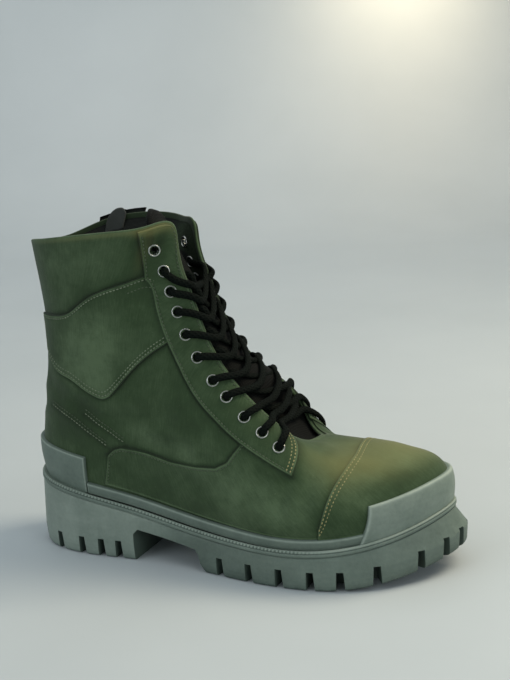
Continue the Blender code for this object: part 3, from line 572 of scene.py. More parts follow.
def laceMaterial():
    look = {"deep": (0.0012, 0.0021, 0.0016), "light": (0.005, 0.0078, 0.006)}
    made, tree, shader = newMaterial("braidedLace")
    turns = stretch(tree, clothPlace(tree), (8, 0.42, 1))
    strands = [bands(tree, stretch(tree, turns, (1, 1, 1), angle), 0.30, Distortion=0.4) for angle in (45, -45)]
    braid = mathNode(tree, "MAXIMUM", *strands)
    cloudy = noise(tree, objectPlace(tree), 120, 3.0)
    shade = scaled(tree, cloudy, 0.5, mathNode(tree, "MULTIPLY", braid, 0.4))
    setInputs(tree, shader, {
        "Base Color": ramp(tree, shade, (0.2, look["deep"]), (0.95, look["light"])), "Specular IOR Level": 0.06,
        "Roughness": scaled(tree, cloudy, 0.2, 0.66), "Normal": bump(tree, braid, 0.7, 0.0005)})
    return made


def threadMaterial(name, dark, light):
    made, tree, shader = newMaterial(name)
    place = objectPlace(tree)
    twist = noise(tree, place, 2600, 2.0)
    setInputs(tree, shader, {
        "Base Color": ramp(tree, noise(tree, place, 150, 3.0), (0.3, dark), (0.75, light)),
        "Roughness": scaled(tree, twist, 0.2, 0.62), "Normal": bump(tree, twist, 0.4, 0.0002)})
    return made


def metalMaterial(name, dark, light, rough):
    made, tree, shader = newMaterial(name)
    place = objectPlace(tree)
    cloudy = noise(tree, place, 210, 4.0, 0.6)
    scratch = noise(tree, stretch(tree, place, (300, 2400, 900)), 1.0, 2.0)
    setInputs(tree, shader, {
        "Base Color": ramp(tree, cloudy, (0.3, dark), (0.75, light)), "Metallic": 1.0,
        "Roughness": scaled(tree, cloudy, 0.25, rough), "Normal": bump(tree, scratch, 0.12, 0.0002)})
    return made


def stageMaterial():
    made, tree, shader = newMaterial("paleFloor")
    cloudy = noise(tree, objectPlace(tree), 3.0, 4.0)
    setInputs(tree, shader, {
        "Base Color": ramp(tree, cloudy, (0.3, (0.44, 0.485, 0.51)), (0.7, (0.485, 0.53, 0.555))),
        "Roughness": scaled(tree, cloudy, 0.15, 0.5), "Specular IOR Level": 0.25})
    return made


denim = denimMaterial()
rubber = rubberMaterial()
lining = liningMaterial()
lace = laceMaterial()
tongueCloth = textileMaterial("blackMesh", (0.0016, 0.0020, 0.0018), (0.007, 0.0085, 0.0075), 1.6, 0.5)
tapeCloth = textileMaterial("zipTape", (0.008, 0.010, 0.009), (0.035, 0.040, 0.037), 0.9, 0.4)
footbedCloth = textileMaterial("footbed", (0.012, 0.014, 0.013), (0.045, 0.050, 0.046), 1.2, 0.35)
threads = {"pale": threadMaterial("paleThread", (0.085, 0.115, 0.070), (0.21, 0.25, 0.165)),
           "dim": threadMaterial("dimThread", (0.030, 0.050, 0.024), (0.085, 0.115, 0.066)),
           "tan": threadMaterial("tanThread", (0.17, 0.155, 0.062), (0.36, 0.32, 0.145))}
guardCloth = textileMaterial("zipGuard", (0.030, 0.034, 0.032), (0.085, 0.092, 0.088), 0.8, 0.2)
nickel = metalMaterial("nickel", (0.34, 0.35, 0.33), (0.60, 0.61, 0.585), 0.18)
blackMetal = metalMaterial("blackMetal", (0.035, 0.037, 0.036), (0.10, 0.10, 0.098), 0.34)
print("materials ready")

# Fades, darker places and warm patches: station, level, reach in stations and levels, strength
fades = (
    (8.95, 0.61, 0.62, 0.13, 0.41), (8.45, 0.55, 0.30, 0.09, 0.20), (7.3, 0.385, 0.45, 0.05, 0.22),
    (6.2, 0.40, 0.40, 0.05, 0.20), (5.0, 0.33, 0.75, 0.13, 0.30), (4.2, 0.28, 0.40, 0.12, 0.18),
    (9.6, 0.90, 0.60, 0.07, 0.12), (2.5, 0.44, 0.85, 0.17, 0.20), (1.0, 0.60, 0.9, 0.14, 0.16),
    (13.05, 0.63, 0.75, 0.15, 0.30), (17.0, 0.33, 0.75, 0.13, 0.28), (14.7, 0.385, 0.45, 0.05, 0.22),
)
# darker places; among them painted shade in the slit at the top of the outer eyestay, beside the back seam and
# over the lower front edge of the inner eyestay
darks = (
    (7.6, 0.50, 0.55, 0.10, 0.08), (9.9, 0.44, 0.50, 0.07, 0.10), (6.5, 0.55, 0.50, 0.08, 0.12),
    (1.7, 0.42, 0.90, 0.08, 0.16), (9.0, 0.38, 0.90, 0.09, 0.22), (4.5, 0.75, 0.80, 0.14, 0.12),
    (8.15, 0.93, 0.35, 0.06, 0.20), (10.62, 0.46, 0.13, 0.28, 0.50), (8.30, 0.985, 0.03, 0.018, 0.8),
    (8.25, 0.967, 0.03, 0.018, 0.8), (8.20, 0.950, 0.03, 0.016, 0.7), (8.06, 0.955, 0.10, 0.03, 0.22),
    (18.6, 0.97, 0.50, 0.06, 0.35), (14.4, 0.50, 0.55, 0.10, 0.16), (10.6, 0.70, 0.30, 0.15, 0.10),
)
# warm patches: on the toe's top partly yellowed cloth and partly a painted warm highlight of the key light;
# also along the collar's top edge and at the topstay
warms = (
    (0.9, 0.68, 1.5, 0.22, 0.46), (2.2, 0.62, 0.8, 0.15, 0.26), (2.9, 0.62, 0.6, 0.20, 0.20),
    (21.0, 0.62, 1.2, 0.26, 0.45), (8.25, 0.995, 0.35, 0.022, 0.5), (8.9, 0.998, 1.2, 0.012, 0.3),
    (8.27, 0.93, 0.12, 0.07, 0.12),
)


def patches(rows, station, level):
    total = np.zeros(np.shape(station))
    for middle, rise, wide, tall, strength in rows:
        away = (np.asarray(station) - middle + loop / 2) % loop - loop / 2
        total += strength * np.exp(-((away / wide) ** 2 + ((level - rise) / tall) ** 2) ** 1.4)
    return total


def clothValues(station, level, extra=0.0, shadow=0.0):
    return {"wearAndHighlight": patches(fades, station, level) + extra, "dark": patches(darks, station, level) + shadow,
            "warm": np.clip(patches(warms, station, level), 0, 0.6)}


# Sewn panels: rows along two facing edges, edges rolled down onto the cloth below
hem = {
    "radius": 0.9, "tuck": 0.7,                 # roll of the edge, and how far it sinks in
    "seamAt": 2.6, "dent": (0.28, 0.8),         # stitched groove: place, depth and reach
    # the pale ridge inside the rolled edge is partly rubbed wear, partly a painted highlight
    "rubbedAndLit": (0.32, 1.1, 0.6),                 # pale ridge: strength, place and reach
    # the dark edge is a painted shadow line in the gap under the rolled edge
    "gap": (0.75, 0.5),                         # dark edge: strength and reach
    "beside": ((0.55, 1.5), (0.10, 5.0)), "besideReach": 7,     # shade on the cloth next to it
}
tiny = 1e-6                         # distance in mm that counts as none


def innerSide(points):
    return [(loop - station, level) for station, level in points]


def mirrored(points):
    return list(points) + [(-station, level) for station, level in reversed(points[:-1])]


def edgeLine(points, count, curved=True):
    points = np.asarray(points, float)
    run = surface(points[:, 0], np.clip(points[:, 1], 0, 1))
    length = runLength(run)
    at = borderSteps(length[-1], count) * length[-1]
    return spline(length, points, at) if curved else sampled(at, length, points)


def borderSteps(length, count):
    border = np.array([0, 0.12, 0.35, 0.7, 1.2, 1.9, 2.6, 3.4]) / length
    return np.concatenate([border, np.linspace(border[-1], 1 - border[-1], count)[1:-1], 1 - border[::-1]])


def panelGrid(foot, top, rows, cols, curved=True):
    foot, top = edgeLine(foot, rows, curved), edgeLine(top, rows, curved)
    mean = np.linalg.norm(surface(foot[:, 0], foot[:, 1]) - surface(top[:, 0], top[:, 1]), axis=-1).mean()
    shares = borderSteps(mean, cols)[None, :, None]
    both = foot[:, None] + (top - foot)[:, None] * shares
    return both[..., 0], both[..., 1]


def stripGrid(station, half, levels):
    # upright strip to both sides of a station
    foot, top = ([(station + side, each) for each in np.linspace(*levels, 9)] for side in (-half, half))
    return panelGrid(foot, top, 110, 12)


def edgeDistance(points):
    along = np.linalg.norm(np.diff(points, axis=0), axis=-1)
    across = np.linalg.norm(np.diff(points, axis=1), axis=-1)
    u = np.concatenate([np.zeros((1, points.shape[1])), np.cumsum(along, axis=0)])
    v = np.concatenate([np.zeros((points.shape[0], 1)), np.cumsum(across, axis=1)], axis=1)
    return np.minimum(np.minimum(u, u[-1:] - u), np.minimum(v, v[:, -1:] - v))


def rolled(distance, lift, thick, radius, seamAt=None):
    height = np.where(distance <= tiny, lift - hem["tuck"], lift + thick * dome(distance, radius))
    if seamAt is not None:
        depth, reach = hem["dent"]
        height = height - depth * bell(distance - seamAt, reach)
    return height


def besideEdges(points, lines):
    # painted shadow on the cloth along the edges sewn over it
    dark = np.zeros(points.shape[:-1])
    for line in lines:
        run = surface(*edgeLine(line, 90, curved=False).T)
        near, far = closeTo(points, run, hem["besideReach"])
        shade = sum(strength * bell(far, reach) for strength, reach in hem["beside"])
        dark[near] = np.maximum(dark[near], shade)
    return dark


def clothPanel(name, grid, lift, thick, node, over=(), holed=False, flip=False):
    station, level = grid
    distance = edgeDistance(surface(station, level))
    points = skin(station, level, rolled(distance, lift, thick, hem["radius"], hem["seamAt"]))
    # pale ridge just inside the edge: partly rubbed wear, partly painted highlight
    strength, place, reach = hem["rubbedAndLit"]
    rubbedAndLit = strength * bell(distance - place, reach)
    # dark line along the edge itself: painted shadow of the gap under the roll
    strength, reach = hem["gap"]
    shadow = strength * bell(distance, reach) + besideEdges(points, over)
    faces = gridFaces(*station.shape)
    if holed:
        faces = withHoles(points, faces)
    if flip:
        faces = faces[:, ::-1]
    piece = gridObject(name, points, clothValues(station, level, rubbedAndLit, shadow), faces)
    dress(piece, denim, (node,))


# Eyelet places, shared by the holes, the rings and the lace
eyestay = {
    "front": ((2.84, 1.0), (3.2, 1.0), (3.8, 1.0), (4.5, 1.0), (5.15, 1.0), (5.8, 1.0), (6.3, 1.0),
              (6.8, 1.0), (7.3, 1.0), (7.96, 0.995)),
    "rear": ((3.86, 0.495), (4.46, 0.55), (4.95, 0.59), (5.56, 0.65), (6.06, 0.685), (6.66, 0.73),
             (7.22, 0.765), (7.68, 0.80), (8.08, 0.835), (8.5, 0.995)),
    # place along the table, share from front to rear
    "eyelets": ((8.4, 0.77), (7.95, 0.63), (7.4, 0.55), (6.65, 0.54), (5.8, 0.56), (4.95, 0.52), (4.1, 0.49),
                (3.35, 0.5), (2.45, 0.57), (1.65, 0.61), (0.8, 0.69)),
    "lift": 0.15, "thick": 1.0,
}


def onEyestay(along, across):
    rows = np.arange(len(eyestay["front"]))
    front, rear = (sampled(along, rows, np.array(eyestay[edge])) for edge in ("front", "rear"))
    return front + (rear - front) * across


outerSeats = np.array([onEyestay(*each) for each in eyestay["eyelets"]])
innerSeats = np.array(innerSide(outerSeats))
seats = np.concatenate([outerSeats, innerSeats])
seatPoints = skin(seats[:, 0], seats[:, 1], 0.0)
outerPoints = seatPoints[:len(outerSeats)]
seatNormals = normals(seats[:, 0], seats[:, 1])


def withHoles(points, faces, radius=2.7, reach=9):
    # leaves out the faces inside the eyelet holes
    spots = points.reshape(-1, 3)[faces].mean(axis=1)
    found = np.zeros(len(spots), bool)
    for middle, out in zip(seatPoints, seatNormals):
        near = spots - middle
        depth = near @ out
        found |= (np.linalg.norm(near - depth[:, None] * out, axis=-1) < radius) & (abs(depth) < reach)
    return faces[~found]


# Upper: outer cloth with its turned-in edge, and the lining inside

def edgeRoll(station, radius, inside):
    # folded cloth over the top edge, then a little way down the inner side
    point, out = skin(station, np.ones_like(station), 0.0), normals(station, np.ones_like(station))
    up = unit(point - skin(station, np.full_like(station, 0.985), 0.0))
    turn = np.linspace(0, math.pi, 9)[1:]
    arc = (point[:, None] + out[:, None] * (radius * (np.cos(turn) - 1))[None, :, None]
           + up[:, None] * (radius * np.sin(turn))[None, :, None])
    down = skin(station[:, None], np.linspace(0.99, 1 - inside, 4)[None], -2 * radius)
    return np.concatenate([arc, down], axis=1)


def makeUpper():
    look = {"columns": 540, "rows": 132, "fold": 1.05, "facing": 0.014, "foldWearAndHighlight": 0.16, "foldDark": (2, 7),
            "groove": 0.5, "grooveWide": 1.3, "grooveDark": 0.22, "rubbedAndLit": 0.22, "rubbedAndLitFrom": 0.985}
    station = np.linspace(boot["half"], boot["half"] + loop, look["columns"])
    at, up = np.meshgrid(station, np.linspace(0, 1, look["rows"]), indexing="ij")
    points = skin(at, up, 0.0)
    groove = np.zeros(at.shape)
    for path in quarterSeams:
        near, far = closeTo(points, surface(*throughPoints(path, 60).T), 6)
        groove[near] = np.maximum(groove[near], bell(far, look["grooveWide"]))
    points = points - normals(at, up) * (look["groove"] * groove)[..., None]
    # paler towards the collar's top edge: partly rubbed wear, partly painted highlight
    rubbedAndLit = look["rubbedAndLit"] * smooth(up, look["rubbedAndLitFrom"], 1.0)
    # darker in the sewn grooves and beside the edges sewn over the cloth: painted shade
    values = clothValues(at, up, rubbedAndLit, look["grooveDark"] * groove + besideEdges(points, overUpper))
    roll = edgeRoll(station, look["fold"], look["facing"])
    extra = np.ones(roll.shape[:2])
    # the fold over the top edge: paler (partly rubbed wear, partly painted highlight), with painted shade
    # growing down the inner side
    fold = {"wearAndHighlight": look["foldWearAndHighlight"] * extra, "warm": 0.0 * extra,
            "dark": extra * smooth(np.arange(roll.shape[1]), *look["foldDark"])}
    points = np.concatenate([points, roll], axis=1)
    values = {key: np.concatenate([value, fold[key]], axis=1) for key, value in values.items()}
    faces = withHoles(points, gridFaces(*points.shape[:2]))
    dress(gridObject("upperCloth", points, values, faces), denim, ("upper",))


def makeLining():
    look = {"columns": 300, "rows": 72, "top": 0.985, "depth": 2.15, "facing": (3.8, 26.0),
            # collar padding: thickness, stations from the heel, levels it grows and ends over
            "pad": 3.2, "padded": (2.2, 2.7), "padFoot": (0.72, 0.82), "padTop": (0.93, 0.985)}
    station = np.linspace(boot["half"], boot["half"] + loop, look["columns"])
    at, up = np.meshgrid(station, np.linspace(0, look["top"], look["rows"]), indexing="ij")
    fromHeel = np.minimum(at - boot["half"], boot["half"] + loop - at)
    collar = 1 - smooth(fromHeel, *look["padded"])
    pad = look["pad"] * collar * smooth(up, *look["padFoot"]) * (1 - smooth(up, *look["padTop"]))
    points = skin(at, up, -look["depth"] - pad)
    away = np.linalg.norm(points - surface(at, np.ones_like(up)), axis=-1)
    start, end = look["facing"]
    facing = (1 - collar) * smooth(away, start - 1, start + 1) * (1 - smooth(away, end - 3, end))
    faces = withHoles(points, gridFaces(*points.shape[:2])[:, ::-1])
    dress(gridObject("upperLining", points, {"facing": facing}, faces), lining)


# station, level: sewn lines on the plain quarter, outer side then inner side
quarterSeams = [
    ((9.86, 0.398), (9.26, 0.368), (8.9, 0.342), (8.56, 0.315), (8.24, 0.29)),
    ((8.92, 0.392), (8.49, 0.364), (8.14, 0.345), (7.82, 0.328)),
]
quarterSeams += [innerSide(path) for path in quarterSeams]

panels = {
    "ankleTop": ((10.45, 0.735), (9.9, 0.73), (9.5, 0.735), (9.13, 0.785), (8.75, 0.815), (8.4, 0.832),
                 (8.0, 0.85), (7.6, 0.86), (7.25, 0.865)),
    "ankleFoot": ((10.2, 0.60), (9.65, 0.525), (9.25, 0.505), (8.9, 0.48), (8.6, 0.463), (8.4, 0.46),
                  (8.15, 0.495), (7.75, 0.595), (7.1, 0.765)),
    "vampTop": ((8.28, 0.265), (8.12, 0.298), (7.95, 0.315), (7.4, 0.33), (6.7, 0.345), (6.1, 0.375),
                (5.6, 0.41), (5.3, 0.46), (4.98, 0.565), (4.7, 0.68), (4.3, 0.82), (3.8, 0.93), (3.2, 0.975),
                (2.4, 0.985), (1.5, 0.985), (0.7, 0.985), (0, 0.985)),
    "vampFoot": [(station, 0.10) for station in (8.42, 8.1, 7.8, 7.4, 6.7, 6.1, 5.6, 5.3, 4.98, 4.6, 4.1, 3.6,
                                                 3.0, 2.3, 1.5, 0.7, 0)],
    "capTop": ((3.56, 0.18), (3.50, 0.235), (3.34, 0.345), (3.08, 0.455), (2.62, 0.58), (2.1, 0.675),
               (1.66, 0.73), (0.9, 0.795), (0, 0.825)),
    "capFoot": [(station, 0.09) for station in (3.61, 3.4, 3.2, 2.8, 2.3, 1.9, 1.5, 0.8, 0)],
    "backstay": (boot["half"], 0.25, (0.2, 0.985)),     # station, half width, levels
}


# edges that lie over each piece below
stayEdges = [eyestay["rear"], (eyestay["rear"][0], eyestay["front"][0])]
stayEdges += [innerSide(edge) for edge in stayEdges]
overUpper = [panels["ankleFoot"], panels["ankleTop"], panels["vampTop"][:9], innerSide(panels["vampTop"][:9])]
overUpper += stayEdges
overVamp = stayEdges + [panels["capTop"], innerSide(panels["capTop"])]


def makePanels():
    lift, thick = eyestay["lift"], eyestay["thick"]
    sides = (("eyestayOuter", tuple, "eyestay_lateral", False),
             ("eyestayInner", innerSide, "eyestay_medial", True))
    grids = {}
    for name, side, node, flip in sides:
        grids[name] = panelGrid(side(eyestay["rear"]), side(eyestay["front"]), 190, 34, curved=False)
        clothPanel(name, grids[name], lift + 0.5, thick, node, holed=True, flip=flip)
    grids["ankle"] = panelGrid(panels["ankleFoot"], panels["ankleTop"], 120, 60)
    grids["vamp"] = panelGrid(mirrored(panels["vampFoot"]), mirrored(panels["vampTop"]), 300, 56, curved=False)
    grids["cap"] = panelGrid(mirrored(panels["capFoot"]), mirrored(panels["capTop"]), 220, 60)
    grids["backstay"] = stripGrid(*panels["backstay"])
    clothPanel("anklePanel", grids["ankle"], lift, thick + 0.3, "ankle_panel", stayEdges[:1], flip=True)
    clothPanel("vampPanel", grids["vamp"], lift, thick - 0.2, "vamp", overVamp, flip=True)
    clothPanel("toeCap", grids["cap"], lift + 0.7, thick, "toe_cap", flip=True)
    clothPanel("backstayStrip", grids["backstay"], lift, thick, "backstay", flip=True)
    return grids


makeUpper()
makeLining()
sewn = makePanels()
print("upper, lining and panels ready")


# Stitching: short raised threads along the sewn lines
sewing = {
    "pitch": 2.5, "long": 1.75, "wide": 0.85, "tall": 0.6, "sides": 6,
    # place along one stitch, fatness, rise
    "form": ((-1, 0.05, -0.5), (-0.8, 0.72, 0), (-0.3, 1, 0.12), (0.3, 1, 0.12), (0.8, 0.72, 0),
             (1, 0.05, -0.5)),
    # panel, edge, depth inside it, height, thread, part of the edge
    "rows": (
        ("eyestayOuter", "foot", 2.4, 1.45, "dim"), ("eyestayOuter", "top", 2.4, 1.45, "dim"),
        ("eyestayOuter", "start", 2.2, 1.45, "tan"), ("eyestayOuter", "start", 4.8, 1.45, "tan"),
        ("eyestayInner", "foot", 2.4, 1.45, "dim"), ("eyestayInner", "top", 2.4, 1.45, "dim"),
        # the inner side's start rows take the dim thread where the outer side has tan: painted shade at the
        # bottom of the throat
        ("eyestayInner", "start", 2.2, 1.45, "dim"), ("eyestayInner", "start", 4.8, 1.45, "dim"),
        ("ankle", "foot", 2.4, 1.3, "pale"), ("ankle", "top", 2.4, 1.3, "pale"),
        ("ankle", "foot", 5.2, 1.3, "pale"), ("ankle", "start", 2.4, 1.3, "pale"),
        ("ankle", "top", 7.6, 1.3, "dim", (0.66, 0.98)),
        ("vamp", "top", 2.4, 0.75, "dim", (0, 0.33)), ("vamp", "top", 2.4, 0.75, "dim", (0.67, 1)),
        ("vamp", "start", 2.4, 0.75, "dim"), ("vamp", "end", 2.4, 0.75, "dim"),
        ("cap", "top", 2.0, 1.65, "tan"), ("cap", "top", 4.8, 1.65, "tan"),
        ("backstay", "foot", 2.0, 0.95, "dim"), ("backstay", "top", 2.0, 0.95, "dim"),
    ),
    # beside the quarter's sewn lines: level above the line, height, thread
    "quarter": ((0.008, 0.2, "pale"), (0.021, 0.2, "dim")),
}


def insetLine(grid, side, depth):
    # a line of (station, level) running a set depth inside one edge of a panel
    station, level = grid
    if side in ("start", "end"):
        station, level = station.T, level.T
    if side in ("top", "end"):
        station, level = station[:, ::-1], level[:, ::-1]
    run = surface(station, level)
    length = np.concatenate([np.zeros((len(run), 1)),
                             np.cumsum(np.linalg.norm(np.diff(run, axis=1), axis=-1), axis=1)], axis=1)
    return np.array([(np.interp(depth, far, a), np.interp(depth, far, b))
                     for far, a, b in zip(length, station, level)])


def stitches(line, height, part=(0, 1)):
    run, out = skin(line[:, 0], line[:, 1], height), normals(line[:, 0], line[:, 1])
    length = runLength(run)
    keep = np.concatenate([[True], np.diff(length) > tiny])
    run, out, length = run[keep], out[keep], length[keep]
    pitch, long, wide, tall = (sewing[key] for key in ("pitch", "long", "wide", "tall"))
    at = np.arange(length[-1] * part[0] + pitch, length[-1] * part[1] - pitch, pitch)
    middle, up = sampled(at, length, run), unit(sampled(at, length, out))
    along = unit(sampled(at + long / 2, length, run) - sampled(at - long / 2, length, run))
    side = np.cross(up, along)
    place, fat, rise = np.array(sewing["form"]).T
    turn = np.linspace(0, 2 * math.pi, sewing["sides"], endpoint=False)
    rings = (middle[:, None, None] + along[:, None, None] * (place * long / 2)[None, :, None, None]
             + up[:, None, None] * (rise * tall)[None, :, None, None]
             + side[:, None, None] * (fat[:, None] * np.cos(turn) * wide / 2)[None, ..., None]
             + up[:, None, None] * (fat[:, None] * np.sin(turn) * tall / 2)[None, ..., None])
    one = gridFaces(len(place), len(turn), closedCols=True)
    step = len(place) * len(turn)
    faces = (one[None] + (np.arange(len(at)) * step)[:, None, None]).reshape(-1, 4)
    points = rings.reshape(-1, 3)
    return points, faces, np.zeros((len(points), 2))


def makeStitching():
    groups = {"pale": [], "dim": [], "tan": []}
    for panel, edge, depth, height, thread, *part in sewing["rows"]:
        groups[thread].append(stitches(insetLine(sewn[panel], edge, depth), height, *part))
    for path in quarterSeams:
        for rise, height, thread in sewing["quarter"]:
            groups[thread].append(stitches(throughPoints(path, 60) + (0, rise), height))
    for thread, pieces in groups.items():
        dress(meshObject(thread + "Stitching", *joined(pieces)), threads[thread])


makeStitching()
print("stitching ready")


# Rubber: rand strips, heel counter, toe bumper

def rubberBand(name, feet, tops, low, high, form, node):
    look = {"edge": 0.2, "wearAndHighlight": 0.36, "highlightReach": 0.7, "dark": 0.3, "darkReach": 0.3}
    lift, thick, radius, pale = form
    shares = borderSteps(float(np.mean(high - low)), 8)
    at = feet[:, None] + (tops - feet)[:, None] * shares[None]
    tall = low[:, None] + (high - low)[:, None] * shares[None]
    level = levelAt(at.ravel(), tall.ravel()).reshape(at.shape)
    distance = edgeDistance(surface(at, level))
    height = np.where(distance <= tiny, look["edge"], lift + thick * dome(distance, radius))
    reach = look["highlightReach"] * radius
    # pale band just inside each edge: painted highlight on the rounded edge; dark at the edge itself: painted
    # shadow in the gap below it
    values = {"wearAndHighlight": look["wearAndHighlight"] * bell(distance - reach, reach) + pale,
              "dark": look["dark"] * bell(distance, look["darkReach"])}
    dress(gridObject(name, skin(at, level, height), values), rubber, (node,))


def makeRubber():
    look = {
        "low": 1.0, "rand": 8.6, "counter": 26.5, "counterAt": 8.85, "bumper": 23.5, "bumperAt": 2.84,
        "bumperTop": 2.56, "bumperFoot": (1.8, 2.4), "join": 0.012, "under": 0.2,
        "steps": 260, "long": 200.0, "bumperLong": 180.0,
        # lift, thickness, edge radius, paleness
        "randForm": (0.9, 2.3, 1.0, -0.06), "counterForm": (0.9, 2.0, 0.8, 0.0),
        "bumperForm": (2.0, 2.8, 1.3, 0.12),
    }
    start, end = look["bumperAt"] - look["under"], look["counterAt"] - look["join"]
    spans = (
        ("randOuter", start, end, "rand", "rand_lateral"),
        ("randInner", loop - end, loop - start, "rand", "rand_medial"),
        ("heelCounter", look["counterAt"], loop - look["counterAt"], "counter", "heel_counter"),
    )
    for name, first, last, kind, node in spans:
        at = first + (last - first) * borderSteps(look["long"], look["steps"])
        low, high = np.full_like(at, look["low"]), np.full_like(at, look[kind])
        rubberBand(name, at, at, low, high, look[kind + "Form"], node)
    foot = look["bumperAt"] * (2 * borderSteps(look["bumperLong"], look["steps"]) - 1)
    endFoot, tipFoot = look["bumperFoot"]
    low = tipFoot + (endFoot - tipFoot) * (foot / look["bumperAt"]) ** 2
    top = foot * look["bumperTop"] / look["bumperAt"]
    high = np.full_like(foot, look["bumper"])
    rubberBand("toeBumper", foot, top, low, high, look["bumperForm"], "toe_bumper")


makeRubber()
print("rubber ready")


# Outsole: rings from the tread up, cut by the arch, the side notches and the tread grooves
sole = {
    "spring": (15.0, 225.0, 305.0), "rocker": (3.0, 12.0),
    "wallRings": ((4.2, 0), (2.6, 0.1), (1.5, 0.6), (0.95, 1.4), (0.65, 2.4), (0.5, 4),
                  (0.35, 6.5), (0.15, 9.5), (0, 12)),
    "rimRings": ((0.45, 7.0), (0.5, 5.6), (0.75, 5.1), (1.4, 4.75), (1.4, 4.35), (1.5, 3.0), (3.2, 3.0)),
    # inset, drop, share of the serration, paleness (raised along the crest: painted highlight), darkness
    # (painted shade in the seat and the groove)
    "beadRings": (
        (1.6, 4.6, 0, 0.05, 0.35), (0.9, 4.25, 0, 0.05, 0), (0.3, 3.95, 0, 0.05, 0), (0.05, 3.5, 0, 0.05, 0),
        (0, 2.6, 0.25, 0.05, 0), (0.05, 2.2, 0.25, 0.05, 0), (0.4, 1.95, 0.25, 0.05, 0.35),
        (0.4, 1.7, 0.25, 0.05, 0.35), (0.1, 1.45, 1, 0.05, 0), (0.15, 0.9, 1, 0.34, 0), (0.5, 0.3, 1, 0.34, 0),
        (1.1, 0, 0.25, 0.34, 0), (1.8, 0.1, 0.25, 0.34, 0), (2.3, 0.5, 0.25, 0.34, 0),
        (2.9, 2.1, 0.25, 0.05, 0), (9, 2.2, 0.25, 0.05, 0),
    ),
    "seatFrom": 2.5, "seatRise": 0.75,     # inset where the upper's seat starts, share it rises at the heel
    "arch": ((89, -5), (89, 19), (92.5, 22.5), (138, 15.5), (140.5, 12), (141.5, 6), (150, -5)),
    "notches": (0.35, 0.94, 1.61, 2.52, 3.20, 3.74, 4.33, 4.96, 5.63, 8.10, 8.53, 9.01, 9.59, 10.3),
    "notch": (7.4, 13.0, 15.0, 0.62),      # width, height, reach, taper
    # x and half width of each tread groove
    "grooves": ((24, 12), (40, 16), (56, 18), (72, 18), (168, 26), (190, 30), (212, 32), (234, 30), (256, 24)),
    "groove": (5.0, 7.0, 0.8),             # width, depth, taper
    "knurl": (2.6, 0.8),                   # pitch and depth of the rim's serration
    "knurlFrom": (3.3, 4.3), "heelSeat": (8.6, 9.0),      # stations from the toe they start over
    "columns": 300, "rimColumns": 2400, "bevel": 0.7,
    "heelPale": (0.31, 85, 130), "toeDim": (0.08, 220, 280),     # strength, x from and to
    # shankDark is painted shade in the hollow of the shank; notchDark is black painted shade inside the notches
    # and the arch
    "footDark": (0.14, 5.0), "shankDark": (0.12, 150, 45),       # strength, middle of the shank, reach
    "notchDark": (0.9, 1.0, 2.2),          # strength, depth from and to
}


def soleSpring(x):
    rise, start, end = sole["spring"]
    lift, reach = sole["rocker"]
    toe = rise * np.clip((x - start) / (end - start), 0, None) ** 2
    return toe + lift * np.clip((reach - x) / reach, 0, None) ** 2


def fromFloor(at, inset, height):
    plan = outline(at, np.full_like(at, inset))
    return raised(plan, soleSpring(plan[:, 0]) + height)


def fromRim(at, inset, drop):
    plan = outline(at, rimInset(at) + inset)
    return raised(plan, rimHeight(plan[:, 0]) - drop)


def boxes(rows):
    # one mesh of boxes from rows of matrix, size and the share of the width left at the upper end
    bm = bmesh.new()
    for matrix, (long, wide, tall), taper in rows:
        verts = bmesh.ops.create_cube(bm, size=1)["verts"]
        for vert in verts:
            narrow = taper if vert.co.z > 0 else 1
            vert.co = (vert.co.x * long, vert.co.y * wide * narrow, vert.co.z * tall)
        bmesh.ops.transform(bm, matrix=matrix, verts=verts)
    return bm


def soleTools():
    width, height, reach, taper = sole["notch"]
    rows = []
    for station in sole["notches"] + tuple(loop - each for each in sole["notches"]):
        edge = outline(np.array([station]))[0]
        inward = outline(np.array([station]), np.array([1.0]))[0] - edge
        turn = Matrix.Rotation(math.atan2(inward[1], inward[0]), 4, "Z")
        place = Matrix.Translation((*edge, float(soleSpring(edge[0]))))
        rows.append((place @ turn, (reach * 2, width, height * 2), taper))
    wide, deep, taper = sole["groove"]
    for x, across in sole["grooves"]:
        place = Matrix.Translation((x, 0, float(soleSpring(x))))
        rows.append((place, (wide, 2 * across, deep * 2), taper))
    arch = bmesh.new()
    side = [arch.verts.new((x, -200, z)) for x, z in sole["arch"]]
    swept = bmesh.ops.extrude_face_region(arch, geom=[arch.faces.new(side)])["geom"]
    moved = [item for item in swept if isinstance(item, bmesh.types.BMVert)]
    bmesh.ops.translate(arch, verts=moved, vec=(0, 400, 0))
    bmesh.ops.recalc_face_normals(arch, faces=arch.faces)
    tools = []
    for name, bm in (("archTool", arch), ("notchTool", boxes(rows))):
        bmesh.ops.transform(bm, matrix=Matrix.Scale(mm, 4) @ Matrix.Translation(origin), verts=bm.verts)
        tools.append(bmObject(name, bm))
    return tools


def cutSole(piece):
    tools = soleTools()
    for tool in tools:
        step = piece.modifiers.new(tool.name, "BOOLEAN")
        step.object = tool
        step.operation = "DIFFERENCE"
        step.solver = "EXACT"
    soft = piece.modifiers.new("soft", "BEVEL")
    soft.width = sole["bevel"] * mm
    soft.segments = 2
    soft.limit_method = "ANGLE"
    soft.angle_limit = math.radians(40)
    graph = bpy.context.evaluated_depsgraph_get()
    mesh = bpy.data.meshes.new_from_object(piece.evaluated_get(graph))
    piece.modifiers.clear()
    piece.data = mesh
    for tool in tools:
        bpy.data.objects.remove(tool)


